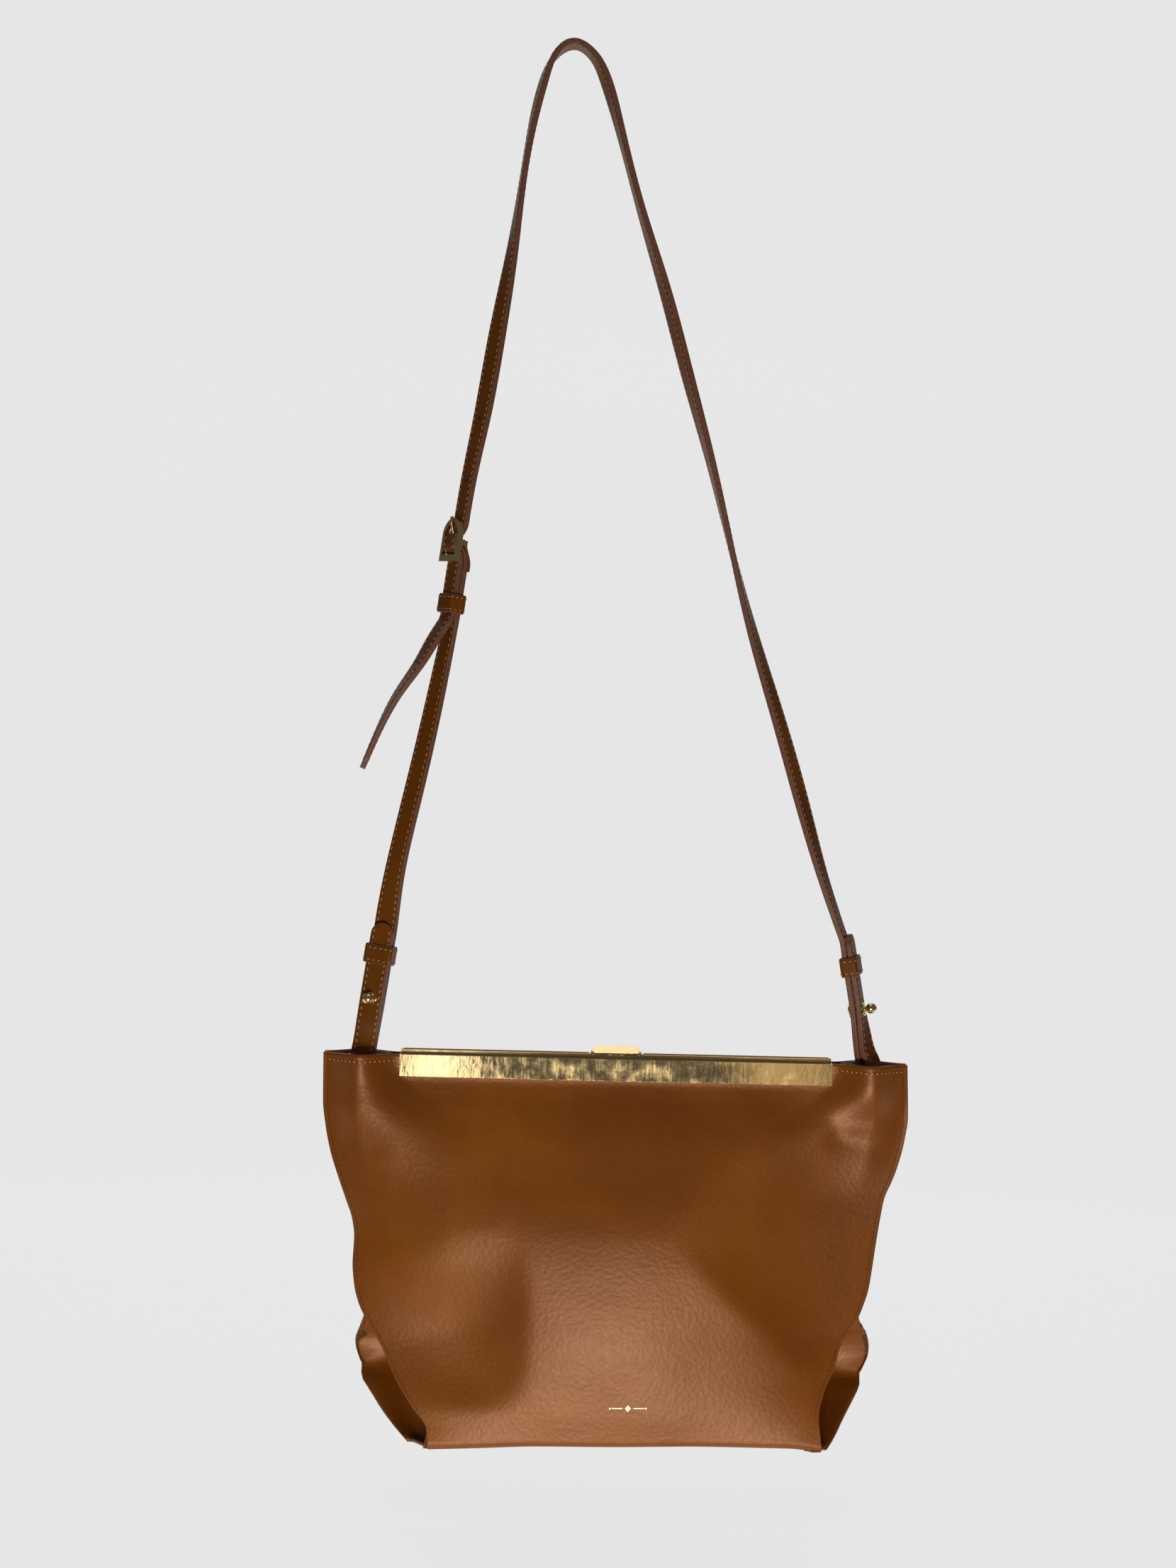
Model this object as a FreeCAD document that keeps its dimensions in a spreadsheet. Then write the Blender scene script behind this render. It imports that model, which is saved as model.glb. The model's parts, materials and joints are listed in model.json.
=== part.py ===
"""A leather shoulder bag with a metal bar clasp and a long buckled strap, hanging from its strap.

Millimetres. The origin is where a hook or a shoulder carries the strap: the middle of the strap's
underside at its crown. X is the bag's width, Y its depth (the front is -Y) and +Z is up.
Bag pieces are modelled about the middle of the mouth's rim and placed by bag_x and drop.
"""

import FreeCAD
import Part
import Sketcher
import math
import os

from FreeCAD import Placement, Rotation, Vector

SIZES = [
    # alias, value, what it is
    ("drop", 556.0, "rim of the bag below the strap's underside"),
    ("bag_x", 36.0, "middle of the bag to the right of the hanging point"),
    ("bag_height", 206.0, "rim to base"),
    ("mouth_half", 161.0, "side seam at the rim, from the middle"),
    ("base_half", 105.5, "front corner of the base, from the middle"),
    ("base_depth", 77.0, "front to back at the base"),
    ("leather", 1.6, "outer leather"),
    ("lining", 0.8, "suede lining"),
    ("gap", 0.3, "clearance between sewn layers"),
    ("side_bulge", 11.5, "how far the rim stands out beside the clasp bars"),
    ("bar_length", 237.0, "clasp bars"),
    ("bar_height", 11.8, "face of a clasp bar below the rim"),
    ("bar_depth", 7.5, "one clasp bar, front to back"),
    ("bar_plate", 1.0, "face plate of a clasp bar"),
    ("bar_web", 1.2, "top of a clasp bar"),
    ("bar_leg", 1.7, "inner leg of a clasp bar"),
    ("bar_leg_height", 9.0, "inner leg of a clasp bar"),
    ("bar_gap", 0.5, "closed clasp bar to the middle plane"),
    ("back_bar_rise", 2.0, "back clasp bar above the front one"),
    ("recess_depth", 1.4, "recess along the top of the back bar"),
    ("front_lip", 1.8, "front lip of the back bar above the rim"),
    ("notch_half", 14.0, "notch for the clasp lever"),
    ("screw_bore", 2.2, "hole for a bar screw"),
    ("screw_body", 2.0, "bar screw"),
    ("lever_width", 25.0, "clasp lever"),
    ("lever_barrel", 3.4, "barrel of the clasp lever"),
    ("pin_bore", 1.7, "bore of the clasp lever"),
    ("pin_body", 1.6, "hinge pin of the clasp lever"),
    ("strap_width", 13.0, "strap"),
    ("strap_thick", 3.0, "strap, two layers of leather"),
    ("fold_thick", 1.2, "strap where it is thinned for a fold"),
    ("layer_gap", 0.4, "between the two layers of a folded strap end"),
    ("ring_wire", 2.4, "wire of a strap ring"),
    ("ring_inside", 14.0, "strap ring, inside width"),
    ("ring_drop", 10.4, "strap ring, top bar to bottom bar"),
    ("ring_corner", 2.0, "strap ring, corner radius of the wire's middle"),
    ("loop_inside", 1.6, "inner radius of the strap's turn round its ring"),
    ("tab_inside", 2.2, "inner radius of the leather tab round a ring"),
    ("tab_wall", 1.4, "leather of a ring tab"),
    ("tab_width", 9.0, "ring tab"),
    ("ring_level", 3.0, "ring's top bar below the rim"),
    ("ring_x", 139.5, "ring from the middle of the bag"),
    ("stud_up", 33.0, "stud above the ring's top bar"),
    ("keeper_up", 57.5, "keeper above the ring's top bar"),
    ("tip_up", 75.0, "end of the folded strap above the ring's top bar"),
    ("stud_ball", 6.0, "ball of a stud"),
    ("stud_seat", 7.4, "seat under the ball"),
    ("stud_post", 3.0, "post of a stud"),
    ("stud_base", 8.0, "base of a stud"),
    ("keeper_height", 10.5, "leather keeper along the strap"),
    ("keeper_wall", 1.1, "leather of a keeper"),
    ("keeper_play", 0.32, "keeper to strap"),
    ("buckle_half", 9.6, "buckle frame, half of its width"),
    ("buckle_rail", 2.5, "buckle frame, rail width"),
    ("buckle_thick", 2.4, "buckle frame, thickness"),
    ("buckle_top", 13.6, "buckle's arch above its centre bar"),
    ("buckle_foot", 10.5, "buckle's lower edge below its centre bar"),
    ("buckle_foot_bar", 3.7, "buckle's lower bar, its height"),
    ("buckle_plane", 1.7, "middle of the buckle's frame in front of the strap path's zero"),
    ("buckle_bar", 2.2, "centre bar of the buckle"),
    ("bar_set_back", 2.0, "centre bar behind the strap path's zero"),
    ("prong_body", 1.8, "prong of the buckle"),
]

# Depth below the rim of each level of the bag's soft walls.
LEVELS = (0.0, 14.0, 40.0, 75.0, 110.0, 140.0, 172.0, 205.5)
# At each level: half width of the front and of the back, outer depth in the middle and at the seam.
FRONT_HALF = (160.5, 160.5, 158.5, 149.0, 142.0, 134.0, 116.0, 105.5)
BACK_HALF = (160.5, 160.5, 158.5, 149.0, 143.0, 142.0, 141.0, 107.0)
MIDDLE_DEPTH = (6.6, 6.6, 13.0, 22.0, 30.0, 36.0, 39.5, 38.5)
SEAM_DEPTH = (4.6, 4.6, 6.0, 9.0, 14.0, 23.0, 32.0, 38.5)
# The valley of the folded side, from the middle of the bag.
VALLEY_X = (124.5, 124.0, 120.0, 113.0, 106.0, 98.0, 94.0, 104.8)
# Each level's outline has corners at these shares of its half width. Beside the clasp bars the rim
# stands out by side_bulge times a share of these at each corner and at each level.
SHARES = (0.0, 0.45, 0.735, 0.80, 0.87, 0.94, 1.0)
BULGE_ALONG = (0.0, 0.0, 0.0, 0.45, 1.0, 0.55, 0.0)
BULGE_DOWN = (1.0, 0.92, 0.45, 0.08, 0.0, 0.0, 0.0, 0.0)
# How closely the folded sides follow the walls at each level.
FOLLOW = (1.0, 1.0, 0.68, 0.34, 0.0, 0.0, 0.0, 0.0)

# The strap's run above the bag: x, y, z and the turn of its width about the vertical, in degrees,
# where 0 is along X. The ends are fixed by the buckle and by the ring assemblies.
LONG_RUN_LEFT = [
    (-52.4, 0.0, -240.0, -56.0),
    (-46.0, 0.0, -206.0, -50.0),
    (-38.5, 0.0, -159.0, -50.0),
    (-31.2, 0.0, -112.0, -68.0),
    (-25.1, 0.0, -65.0, -82.0),
    (-20.8, 0.0, -39.0, -76.0),
    (-15.6, 0.0, -17.5, -74.0),
    (-8.6, 0.0, -3.2, -84.0),
    (0.0, 0.0, 1.5, -90.0),
]
LONG_RUN_RIGHT = [
    (9.2, 0.0, -3.0, -86.0),
    (17.6, 0.0, -17.0, -76.0),
    (25.1, 0.0, -40.0, -80.0),
    (38.5, 0.0, -87.0, -84.0),
    (53.4, 0.0, -133.5, -74.0),
    (66.9, 0.0, -180.0, -73.0),
    (80.5, 0.0, -226.5, -82.0),
    (92.7, 0.0, -273.0, -93.0),
    (105.6, 0.0, -319.5, -110.0),
    (120.6, 0.0, -366.0, -120.0),
    (134.9, 0.0, -412.5, -122.0),
    (148.0, 0.4, -455.0, -112.0),
]
SHORT_RUN = [
    (-65.4, 3.4, -345.0, -50.0),
    (-71.5, 2.2, -377.0, -44.0),
    (-80.6, 1.2, -420.0, -40.0),
    (-89.0, 2.0, -461.0, -34.0),
]
# The loose end of the long strap, below its keeper.
TAIL_RUN = [
    (-69.0, -1.6, -327.0, -58.0),
    (-77.0, -3.2, -341.5, -64.0),
    (-87.5, -4.4, -357.5, -72.0),
    (-97.5, -4.6, -377.0, -80.0),
    (-104.5, -4.6, -394.0, -84.0),
]

# Each folded strap end: the turn of its width at the ring and above the stud, and its lean.
LEFT_END = (-2.0, -16.0, (9.8, 67.7))
RIGHT_END = (55.0, 73.0, (-8.4, 46.7))
TWIST_FROM, TWIST_TO = 6.0, 38.0
BUCKLE_TURN, BUCKLE_LEAN = -57.0, (9.4, 70.5)
BUCKLE_AT = Vector(-59.4, -1.0, -275.0)
TAIL_KEEPER_DOWN = 33.0
SCREW_XS = (-105.0, -45.0, 45.0, 105.0)

doc = FreeCAD.newDocument("shoulder_bag")
sheet = doc.addObject("Spreadsheet::Sheet", "dims")
nodes = []


def fill_sheet():
    for row, (alias, value, note) in enumerate(SIZES, start=1):
        sheet.set(f"A{row}", alias)
        sheet.set(f"B{row}", str(value))
        sheet.set(f"C{row}", note)
        sheet.setAlias(f"B{row}", alias)
    doc.recompute()


def size(alias):
    return float(sheet.get(alias))


# ---------------------------------------------------------------- helpers


def bind(thing, **expressions):
    """Binds properties to expressions on the sheet; a double underscore stands for a dot."""
    for name, text in expressions.items():
        thing.setExpression(name.replace("__", "."), text)
    return thing


def node(thing, label):
    """Marks a document object as a sub-part, exported under this label."""
    thing.Label = label
    nodes.append(thing)
    return thing


def box(name, at, spans):
    """A Part::Box whose corner and sides are expressions."""
    made = doc.addObject("Part::Box", name)
    bind(made, Length=spans[0], Width=spans[1], Height=spans[2])
    return bind(made, Placement__Base__x=at[0], Placement__Base__y=at[1], Placement__Base__z=at[2])


def cylinder(name, at, radius, height, along):
    """A Part::Cylinder whose start is an expression and whose axis is a vector."""
    made = doc.addObject("Part::Cylinder", name)
    made.Placement = Placement(Vector(0, 0, 0), Rotation(Vector(0, 0, 1), along))
    bind(made, Radius=radius, Height=height)
    return bind(made, Placement__Base__x=at[0], Placement__Base__y=at[1], Placement__Base__z=at[2])


def cut(name, base, tool):
    made = doc.addObject("Part::Cut", name)
    made.Base, made.Tool = base, tool
    return made


def fuse(name, shapes):
    made = doc.addObject("Part::MultiFuse", name)
    made.Shapes = shapes
    made.Refine = True
    return made


def feature(label, shape, placement=None):
    """A sub-part whose shape comes from Part's own functions."""
    made = doc.addObject("Part::Feature", label)
    made.Shape = shape
    if placement is not None:
        made.Placement = placement
    return node(made, label)


def origin_plane(body, role):
    return next(f for f in body.Origin.OriginFeatures if f.Role == role)


def body_sketch(body, name, role):
    sketch = body.newObject("Sketcher::SketchObject", name)
    sketch.AttachmentSupport = [(origin_plane(body, role), "")]
    sketch.MapMode = "FlatFace"
    return sketch


def rectangle(sketch, half_x, half_y, middle_y=None):
    """A centred rectangle; its half sides, and the place of its middle, are expressions."""
    first = len(sketch.Geometry)
    corners = [Vector(-5, -5, 0), Vector(5, -5, 0), Vector(5, 5, 0), Vector(-5, 5, 0)]
    for i in range(4):
        sketch.addGeometry(Part.LineSegment(corners[i], corners[(i + 1) % 4]), False)
    for i in range(4):
        sketch.addConstraint(Sketcher.Constraint("Coincident", first + i, 2, first + (i + 1) % 4, 1))
    for i, kind in enumerate(("Horizontal", "Vertical", "Horizontal", "Vertical")):
        sketch.addConstraint(Sketcher.Constraint(kind, first + i))
    middle = f"({middle_y})" if middle_y else "0"
    wanted = (
        ("DistanceX", first, 1, -5.0, f"-({half_x})"),
        ("DistanceX", first, 2, 5.0, f"({half_x})"),
        ("DistanceY", first, 1, -5.0, f"{middle} - ({half_y})"),
        ("DistanceY", first + 2, 1, 5.0, f"{middle} + ({half_y})"),
    )
    for kind, edge, end, value, text in wanted:
        index = sketch.addConstraint(Sketcher.Constraint(kind, -1, 1, edge, end, value))
        sketch.setExpression(f"Constraints[{index}]", text)
    return sketch


def pad(body, sketch, length, both_ways=False):
    made = body.newObject("PartDesign::Pad", sketch.Name + "_pad")
    made.Profile = sketch
    if both_ways:
        made.Midplane = True
    made.setExpression("Length", length)
    return made


def strip(points, thick, outward):
    """A closed outline in a level plane: points moved by thick along the outward direction of each."""
    outer = list(points)
    inner = [p - o * thick for p, o in zip(points, outward)]
    return outer + inner[::-1]


def loft(outlines):
    """A closed solid through outlines that have the same number of corners."""
    wires = [Part.makePolygon(list(o) + [o[0]]) for o in outlines]
    solid = Part.makeLoft(wires, True, True)
    if solid.Volume < 0:
        solid.reverse()
    return solid


def at_bag():
    return Placement(Vector(size("bag_x"), 0, -size("drop")), Rotation())


# ---------------------------------------------------------------- the bag's soft walls


def between(places, values, place):
    """The value at a place, in straight lines between the known ones."""
    for i in range(len(places) - 1):
        if place <= places[i + 1]:
            share = (place - places[i]) / (places[i + 1] - places[i])
            return values[i] + (values[i + 1] - values[i]) * share
    return values[-1]


def level_value(values, depth):
    return between(LEVELS, values, depth)


def wall_depth(share, depth):
    """Outer depth of the front or back wall at a share of its half width, below the rim."""
    middle = level_value(MIDDLE_DEPTH, depth)
    seam = level_value(SEAM_DEPTH, depth)
    bulge = size("side_bulge") * level_value(BULGE_DOWN, depth)
    corners = [middle + (seam - middle) * s**6 + bulge * b for s, b in zip(SHARES, BULGE_ALONG)]
    return between(SHARES, corners, abs(share))


def wall_outline(half, depth, inset, thick, side, shares):
    """One level of a wall that lies inset behind the bag's outer face; side is -1 front, 1 back."""
    across = [s * half for s in shares]
    points = [Vector(x, side * (wall_depth(s, depth) - inset), -depth) for x, s in zip(across, shares)]
    return strip(points, thick, [Vector(0, side, 0)] * len(points))


def wall(halves, inset, thick, side, depths, shares):
    return loft([wall_outline(level_value(halves, d), d, inset, thick, side, shares) for d in depths])


def full_shares(last=len(SHARES)):
    """Shares across the wall, left to right, out to the given number of corners on each side."""
    right = list(SHARES[:last])
    return [-s for s in right[:0:-1]] + right


def top_notch():
    """What a wall loses at its top edge, where it stands inside a clasp bar."""
    half = size("bar_length") / 2 + size("gap")
    height = size("bar_web") + size("gap")
    return Part.makeBox(2 * half, 30, height + 5, Vector(-half, -15, -height))


def screw_bores(side, radius):
    """The bar screws' holes through a wall or its packing."""
    depth = size("bar_depth") + 1
    return [
        Part.makeCylinder(radius, depth, Vector(x, 0, -size("bar_leg_height") / 2 - 1), Vector(0, side, 0))
        for x in SCREW_XS
    ]


def outer_wall(label, halves, side):
    shape = wall(halves, 0, size("leather"), side, LEVELS, full_shares())
    shape = shape.cut([top_notch()] + screw_bores(side, size("screw_bore") / 2))
    feature(label, shape, at_bag())


def lining_wall(label, halves, side):
    depths = LEVELS[1:-1] + (size("bag_height") - 5.0,)
    inset = size("leather") + size("gap")
    shape = wall(halves, inset, size("lining"), side, depths, full_shares(len(SHARES) - 3))
    feature(label, shape, at_bag())


def rim_facings(label, side):
    """The turned leather inside the rim, on each side of the clasp bar."""
    inset = size("leather") + 0.15
    depths = (0.5, size("bar_height") + 0.5)
    pieces = []
    for hand in (-1, 1):
        shares = [hand * s for s in (0.745, 0.80, 0.82)]
        pieces.append(wall(FRONT_HALF, inset, 0.5, side, depths, shares))
    feature(label, Part.makeCompound(pieces), at_bag())


def gusset_line(hand, depth):
    """The middle line of a folded side at one level, from the front seam through the valley to the
    back seam. Near the rim each leg follows its wall; lower down it runs straight to the valley."""
    valley = level_value(VALLEY_X, depth)
    follow = level_value(FOLLOW, depth)
    behind = size("leather") + size("gap") + size("leather") / 2 + 0.3
    legs = []
    for side, halves in ((-1, FRONT_HALF), (1, BACK_HALF)):
        half = level_value(halves, depth)
        seam_y = wall_depth(1.0, depth) - behind
        leg = []
        for share in (0.993, 0.965, 0.94, 0.87):
            run = (1 - share) / 0.14
            beside = Vector(share * half, wall_depth(share, depth) - behind, 0)
            straight = Vector(half - (half - valley) * run, seam_y * (1 - run), 0)
            at = beside * follow + straight * (1 - follow)
            leg.append(Vector(hand * at.x, side * at.y, -depth))
        end = leg[-1]
        bend_x = valley + (abs(end.x) - valley) * 0.3
        bend_y = end.y * (0.5 + 0.035 * follow)
        leg.append(Vector(hand * bend_x, bend_y, -depth))
        legs.append(leg)
    return legs[0] + [Vector(hand * valley, 0, -depth)] + legs[1][::-1]


def gusset(label, hand, thick, depths):
    """A folded side: a strip of even thickness along its middle line, lofted down the bag."""
    outlines = []
    for depth in depths:
        line = gusset_line(hand, depth)
        sideways = []
        for i, point in enumerate(line):
            before, after = line[max(i - 1, 0)], line[min(i + 1, len(line) - 1)]
            run = after - before
            normal = Vector(run.y, -run.x, 0)
            normal.normalize()
            sideways.append(normal * hand)
        outer = [p + n * thick / 2 for p, n in zip(line, sideways)]
        inner = [p - n * thick / 2 for p, n in zip(line, sideways)]
        outlines.append(outer + inner[::-1])
    feature(label, loft(outlines), at_bag())


def make_soft_walls():
    outer_wall("front_panel", FRONT_HALF, -1)
    outer_wall("back_panel", BACK_HALF, 1)
    lining_wall("front_lining", FRONT_HALF, -1)
    lining_wall("back_lining", BACK_HALF, 1)
    rim_facings("front_rim_facings", -1)
    rim_facings("back_rim_facings", 1)
    for name, hand in (("left", -1), ("right", 1)):
        gusset(f"{name}_gusset", hand, size("leather"), LEVELS[:-1] + (size("bag_height") - 1.8,))


def base_plate(label, half_x, half_y, above, thick, corner):
    """A flat layer of the base, above the bag's underside."""
    body = doc.addObject("PartDesign::Body", label)
    sketch = body_sketch(body, label + "_outline", "XY_Plane")
    rectangle(sketch, half_x, half_y)
    plate = pad(body, sketch, thick)
    doc.recompute()
    fillet = body.newObject("PartDesign::Fillet", label + "_corners")
    upright = [
        f"Edge{i + 1}"
        for i, e in enumerate(plate.Shape.Edges)
        if abs(e.Vertexes[0].Z - e.Vertexes[1].Z) > 0.1
    ]
    fillet.Base = (plate, upright)
    fillet.Radius = corner
    body.Tip = fillet
    bind(
        body,
        Placement__Base__x="dims.bag_x",
        Placement__Base__z=f"-dims.drop - dims.bag_height + {above}",
    )
    return node(body, label)


def make_base():
    depth = "dims.base_depth / 2 - dims.leather - dims.gap"
    base_plate("base_panel", "dims.base_half - 0.5", depth, "0", "dims.leather", 4.0)
    base_plate("base_board", "dims.base_half - 3.5", f"{depth} - 2.5", "dims.leather + 0.2", "2", 3.0)
    base_plate(
        "base_lining", "dims.base_half - 3.5", f"{depth} - 2.5", "dims.leather + 2.4", "dims.lining", 3.0
    )


def make_pocket():
    """An open slip pocket sewn on the back lining, and its leather trim."""
    depths = (60.0, 75.0, 110.0, 150.0, 165.0)
    inset = size("leather") + 2 * size("gap") + size("lining")
    shares = full_shares(2)
    feature("slip_pocket", wall(BACK_HALF, inset, size("lining"), 1, depths, shares), at_bag())
    trim_inset = inset + size("lining") + 0.1
    feature("pocket_trim", wall(BACK_HALF, trim_inset, 1.0, 1, (61.0, 75.0), shares), at_bag())


# ---------------------------------------------------------------- the clasp


def make_bar(label, side):
    """A clasp bar: a channel that holds the wall's top edge between its face plate and inner leg."""
    y_of = lambda start, depth: start if side > 0 else f"-({start}) - ({depth})"
    rise = "dims.back_bar_rise" if side > 0 else "0"
    z_foot = "-dims.drop - dims.bar_height"
    x_start = "dims.bag_x - dims.bar_length / 2"
    whole = box(
        label + "_block",
        (x_start, y_of("dims.bar_gap", "dims.bar_depth"), z_foot),
        ("dims.bar_length", "dims.bar_depth", f"dims.bar_height + {rise}"),
    )
    slot_depth = "dims.bar_depth - dims.bar_plate - dims.bar_leg"
    slot = box(
        label + "_slot",
        (f"{x_start} - 1", y_of("dims.bar_gap + dims.bar_leg", slot_depth), f"{z_foot} - 1"),
        ("dims.bar_length + 2", slot_depth, "dims.bar_height - dims.bar_web + 1"),
    )
    leg_off = box(
        label + "_leg_end",
        (f"{x_start} - 1", y_of("dims.bar_gap - 1", "dims.bar_leg + 1.5"), f"{z_foot} - 1"),
        ("dims.bar_length + 2", "dims.bar_leg + 1.5", "dims.bar_height - dims.bar_leg_height + 1"),
    )
    tools = [slot, leg_off]
    for i, x in enumerate(SCREW_XS):
        level = "-dims.drop - dims.bar_leg_height / 2 - 1"
        start = ("dims.bag_x + %g" % x, f"{side} * (dims.bar_gap - 1)", level)
        tools.append(
            cylinder(
                f"{label}_bore_{i}", start, "dims.screw_bore / 2", "dims.bar_leg + 2", Vector(0, side, 0)
            )
        )
    if side > 0:
        tools += back_bar_tools()
    bar = cut(label + "_channel", whole, fuse(label + "_tools", tools))
    return node(bar, label)


def back_bar_tools():
    """What the back bar loses along its top: a low front lip, two recesses and the lever's notch."""
    top = "-dims.drop + dims.back_bar_rise"
    lip = box(
        "front_lip_cut",
        ("dims.bag_x - dims.bar_length / 2 - 1", "dims.bar_gap - 1", "-dims.drop + dims.front_lip"),
        ("dims.bar_length + 2", "2.1", "2"),
    )
    notch = box(
        "lever_notch",
        ("dims.bag_x - dims.notch_half", "dims.bar_gap + 1.1", "-dims.drop - 0.6"),
        ("2 * dims.notch_half", "dims.bar_depth", "dims.back_bar_rise + 2"),
    )
    lip_notch = box(
        "lip_notch",
        ("dims.bag_x - dims.notch_half", "dims.bar_gap - 1", "-dims.drop + 1.2"),
        ("2 * dims.notch_half", "3", "2"),
    )
    tools = [lip, notch, lip_notch]
    for name, start in (("left", "-dims.bar_length / 2 + 1.2"), ("right", "dims.notch_half + 1.2")):
        at = (f"dims.bag_x + {start}", "dims.bar_gap + 1.1", f"{top} - dims.recess_depth")
        long_span = "dims.bar_length / 2 - dims.notch_half - 2.4"
        spans = (long_span, "dims.bar_depth - 2.2", "dims.recess_depth + 1")
        tools.append(box(f"top_recess_{name}", at, spans))
    return tools


def make_bar_fillings(name, side):
    """The packing strip that wedges the leather in a bar, and the screws through the inner leg."""
    at = at_bag()
    length = size("bar_length") - 2.0
    inner = size("bar_gap") + size("bar_leg") + 0.2
    outer = wall_depth(length / 2 / FRONT_HALF[0], 0) - size("leather") - 0.2
    top = -size("bar_web") - size("gap")
    low = -size("bar_leg_height") + 0.5
    start_y = inner if side > 0 else -outer
    strip_shape = Part.makeBox(length, outer - inner, top - low, Vector(-length / 2, start_y, low))
    strip_shape = strip_shape.cut(screw_bores(side, size("screw_bore") / 2))
    feature(f"{name}_bar_packing", strip_shape, at)
    level = -size("bar_leg_height") / 2 - 1
    start_y = side * (size("bar_gap") + 0.1)
    screw_length = size("bar_depth") - size("bar_plate") - 0.3
    screws = []
    for x in SCREW_XS:
        start = Vector(x, start_y, level)
        screws.append(Part.makeCylinder(size("screw_body") / 2, screw_length, start, Vector(0, side, 0)))
    feature(f"{name}_bar_screws", Part.makeCompound(screws), at)


PIN_Y, PIN_Z = 5.0, 1.9


def make_clasp():
    """The lever on the back bar with its bracket, pin and spring, and the catch on the front bar."""
    at = at_bag()
    half = size("lever_width") / 2
    barrel = size("lever_barrel") / 2
    pin_at = Vector(-half, PIN_Y, PIN_Z)
    # the lever's section: lip, leaning face, back, web to the barrel and underside
    outline = [(-2.5, 1.9), (-2.9, 3.0), (0.9, 6.3), (1.7, 6.0), (1.9, 4.2), (PIN_Y, PIN_Z + barrel)]
    outline += [(PIN_Y - barrel * 0.9, PIN_Z - 0.2), (3.0, 2.5), (-1.5, 2.5), (-1.6, 1.9)]
    face = Part.Face(Part.makePolygon([Vector(-half, y, z) for y, z in outline + outline[:1]]))
    lever = face.extrude(Vector(2 * half, 0, 0))
    lever = lever.fuse(Part.makeCylinder(barrel, 2 * half, pin_at, Vector(1, 0, 0)))
    bore = Part.makeCylinder(size("pin_bore") / 2, 2 * half + 2, pin_at - Vector(1, 0, 0), Vector(1, 0, 0))
    spring_room = Part.makeBox(8.0, 4.4, 4.0, Vector(-4.0, PIN_Y - 2.2, PIN_Z - 2.0))
    feature("clasp_lever", lever.cut([bore, spring_room]).removeSplitter(), at)

    wide = size("notch_half") - 0.1
    bracket = Part.makeBox(2 * wide, 6.1, 0.4, Vector(-wide, 1.7, -0.6))
    ears = [Part.makeBox(1.0, 4.0, PIN_Z + 1.9, Vector(x, PIN_Y - 2.0, -0.5)) for x in (-wide, wide - 1.0)]
    bracket = bracket.fuse(ears)
    hole_start = Vector(-wide - 1, PIN_Y, PIN_Z)
    pin_hole = Part.makeCylinder(size("pin_body") / 2, 2 * wide + 2, hole_start, Vector(1, 0, 0))
    feature("clasp_bracket", bracket.cut(pin_hole).removeSplitter(), at)
    pin = Part.makeCylinder(size("pin_body") / 2, 2 * wide, Vector(-wide, PIN_Y, PIN_Z), Vector(1, 0, 0))
    feature("clasp_pin", pin, at)
    # a closely wound spring round the pin: a sleeve with a ridge for each turn
    wire, turns, pitch = 0.5, 5, 1.0
    mean = size("pin_body") / 2 + wire
    half_length = turns * pitch / 2
    along = Vector(1, 0, 0)
    start = Vector(-half_length, PIN_Y, PIN_Z)
    spring = Part.makeCylinder(mean, 2 * half_length, start, along)
    for i in range(turns):
        ridge_start = start + along * (i * pitch + (pitch - wire) / 2)
        spring = spring.fuse(Part.makeCylinder(mean + wire / 2, wire, ridge_start, along))
    bore = Part.makeCylinder(mean - wire / 2, 2 * half_length + 1, start - along * 0.5, along)
    feature("clasp_spring", spring.cut(bore).removeSplitter(), at)
    catch = Part.makeBox(18.0, 0.9, 1.55, Vector(-9.0, -size("bar_gap") - 0.95, 0))
    feature("clasp_catch", catch, at)


# ---------------------------------------------------------------- strap frames and ribbons


def frame(origin, turn, lean):
    """A placement whose X is the strap's width, -Y its outer face and Z up along the strap."""
    up = Vector(lean[0], 0, lean[1])
    up.normalize()
    across = Vector(math.cos(math.radians(turn)), math.sin(math.radians(turn)), 0)
    across = across - up * across.dot(up)
    across.normalize()
    inward = up.cross(across)
    return Placement(origin, Rotation(across, inward, up, "ZXY"))


def ring_frame(hand, end):
    """The frame of a folded strap end: its origin is on the middle of the rear layer, level with the
    ring's top bar, so that the bar itself is at -Y by loop_inside plus half the strap."""
    turn, _, lean = end
    made = frame(Vector(0, 0, 0), turn, lean)
    to_bar = made.Rotation.multVec(Vector(0, -bar_offset(), 0))
    bar = Vector(size("bag_x") + hand * size("ring_x"), 0, -size("drop") - size("ring_level"))
    made.Base = bar - to_bar
    return made


def twisted(end, up):
    """The turn about a folded end's own length at a height, about the middle between its layers."""
    share = min(max((up - TWIST_FROM) / (TWIST_TO - TWIST_FROM), 0.0), 1.0)
    angle = (end[1] - end[0]) * share * share * (3 - 2 * share)
    middle = Vector(0, -(size("strap_thick") + size("layer_gap")) / 2, 0)
    return Placement(middle, Rotation(Vector(0, 0, 1), angle)).multiply(Placement(middle * -1, Rotation()))


def bar_offset():
    return size("loop_inside") + size("strap_thick") / 2


def station(point, across, outward, thick=None, width=None):
    return (point, across, outward, thick or size("strap_thick"), width or size("strap_width"))


def ribbon(stations):
    """A closed strap through stations, each with its middle, width direction and outer direction."""
    outlines = []
    for point, across, outward, thick, width in stations:
        a, o = across * (width / 2), outward * (thick / 2)
        outlines.append([point - a - o, point + a - o, point + a + o, point - a + o])
    return loft(outlines)


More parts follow.
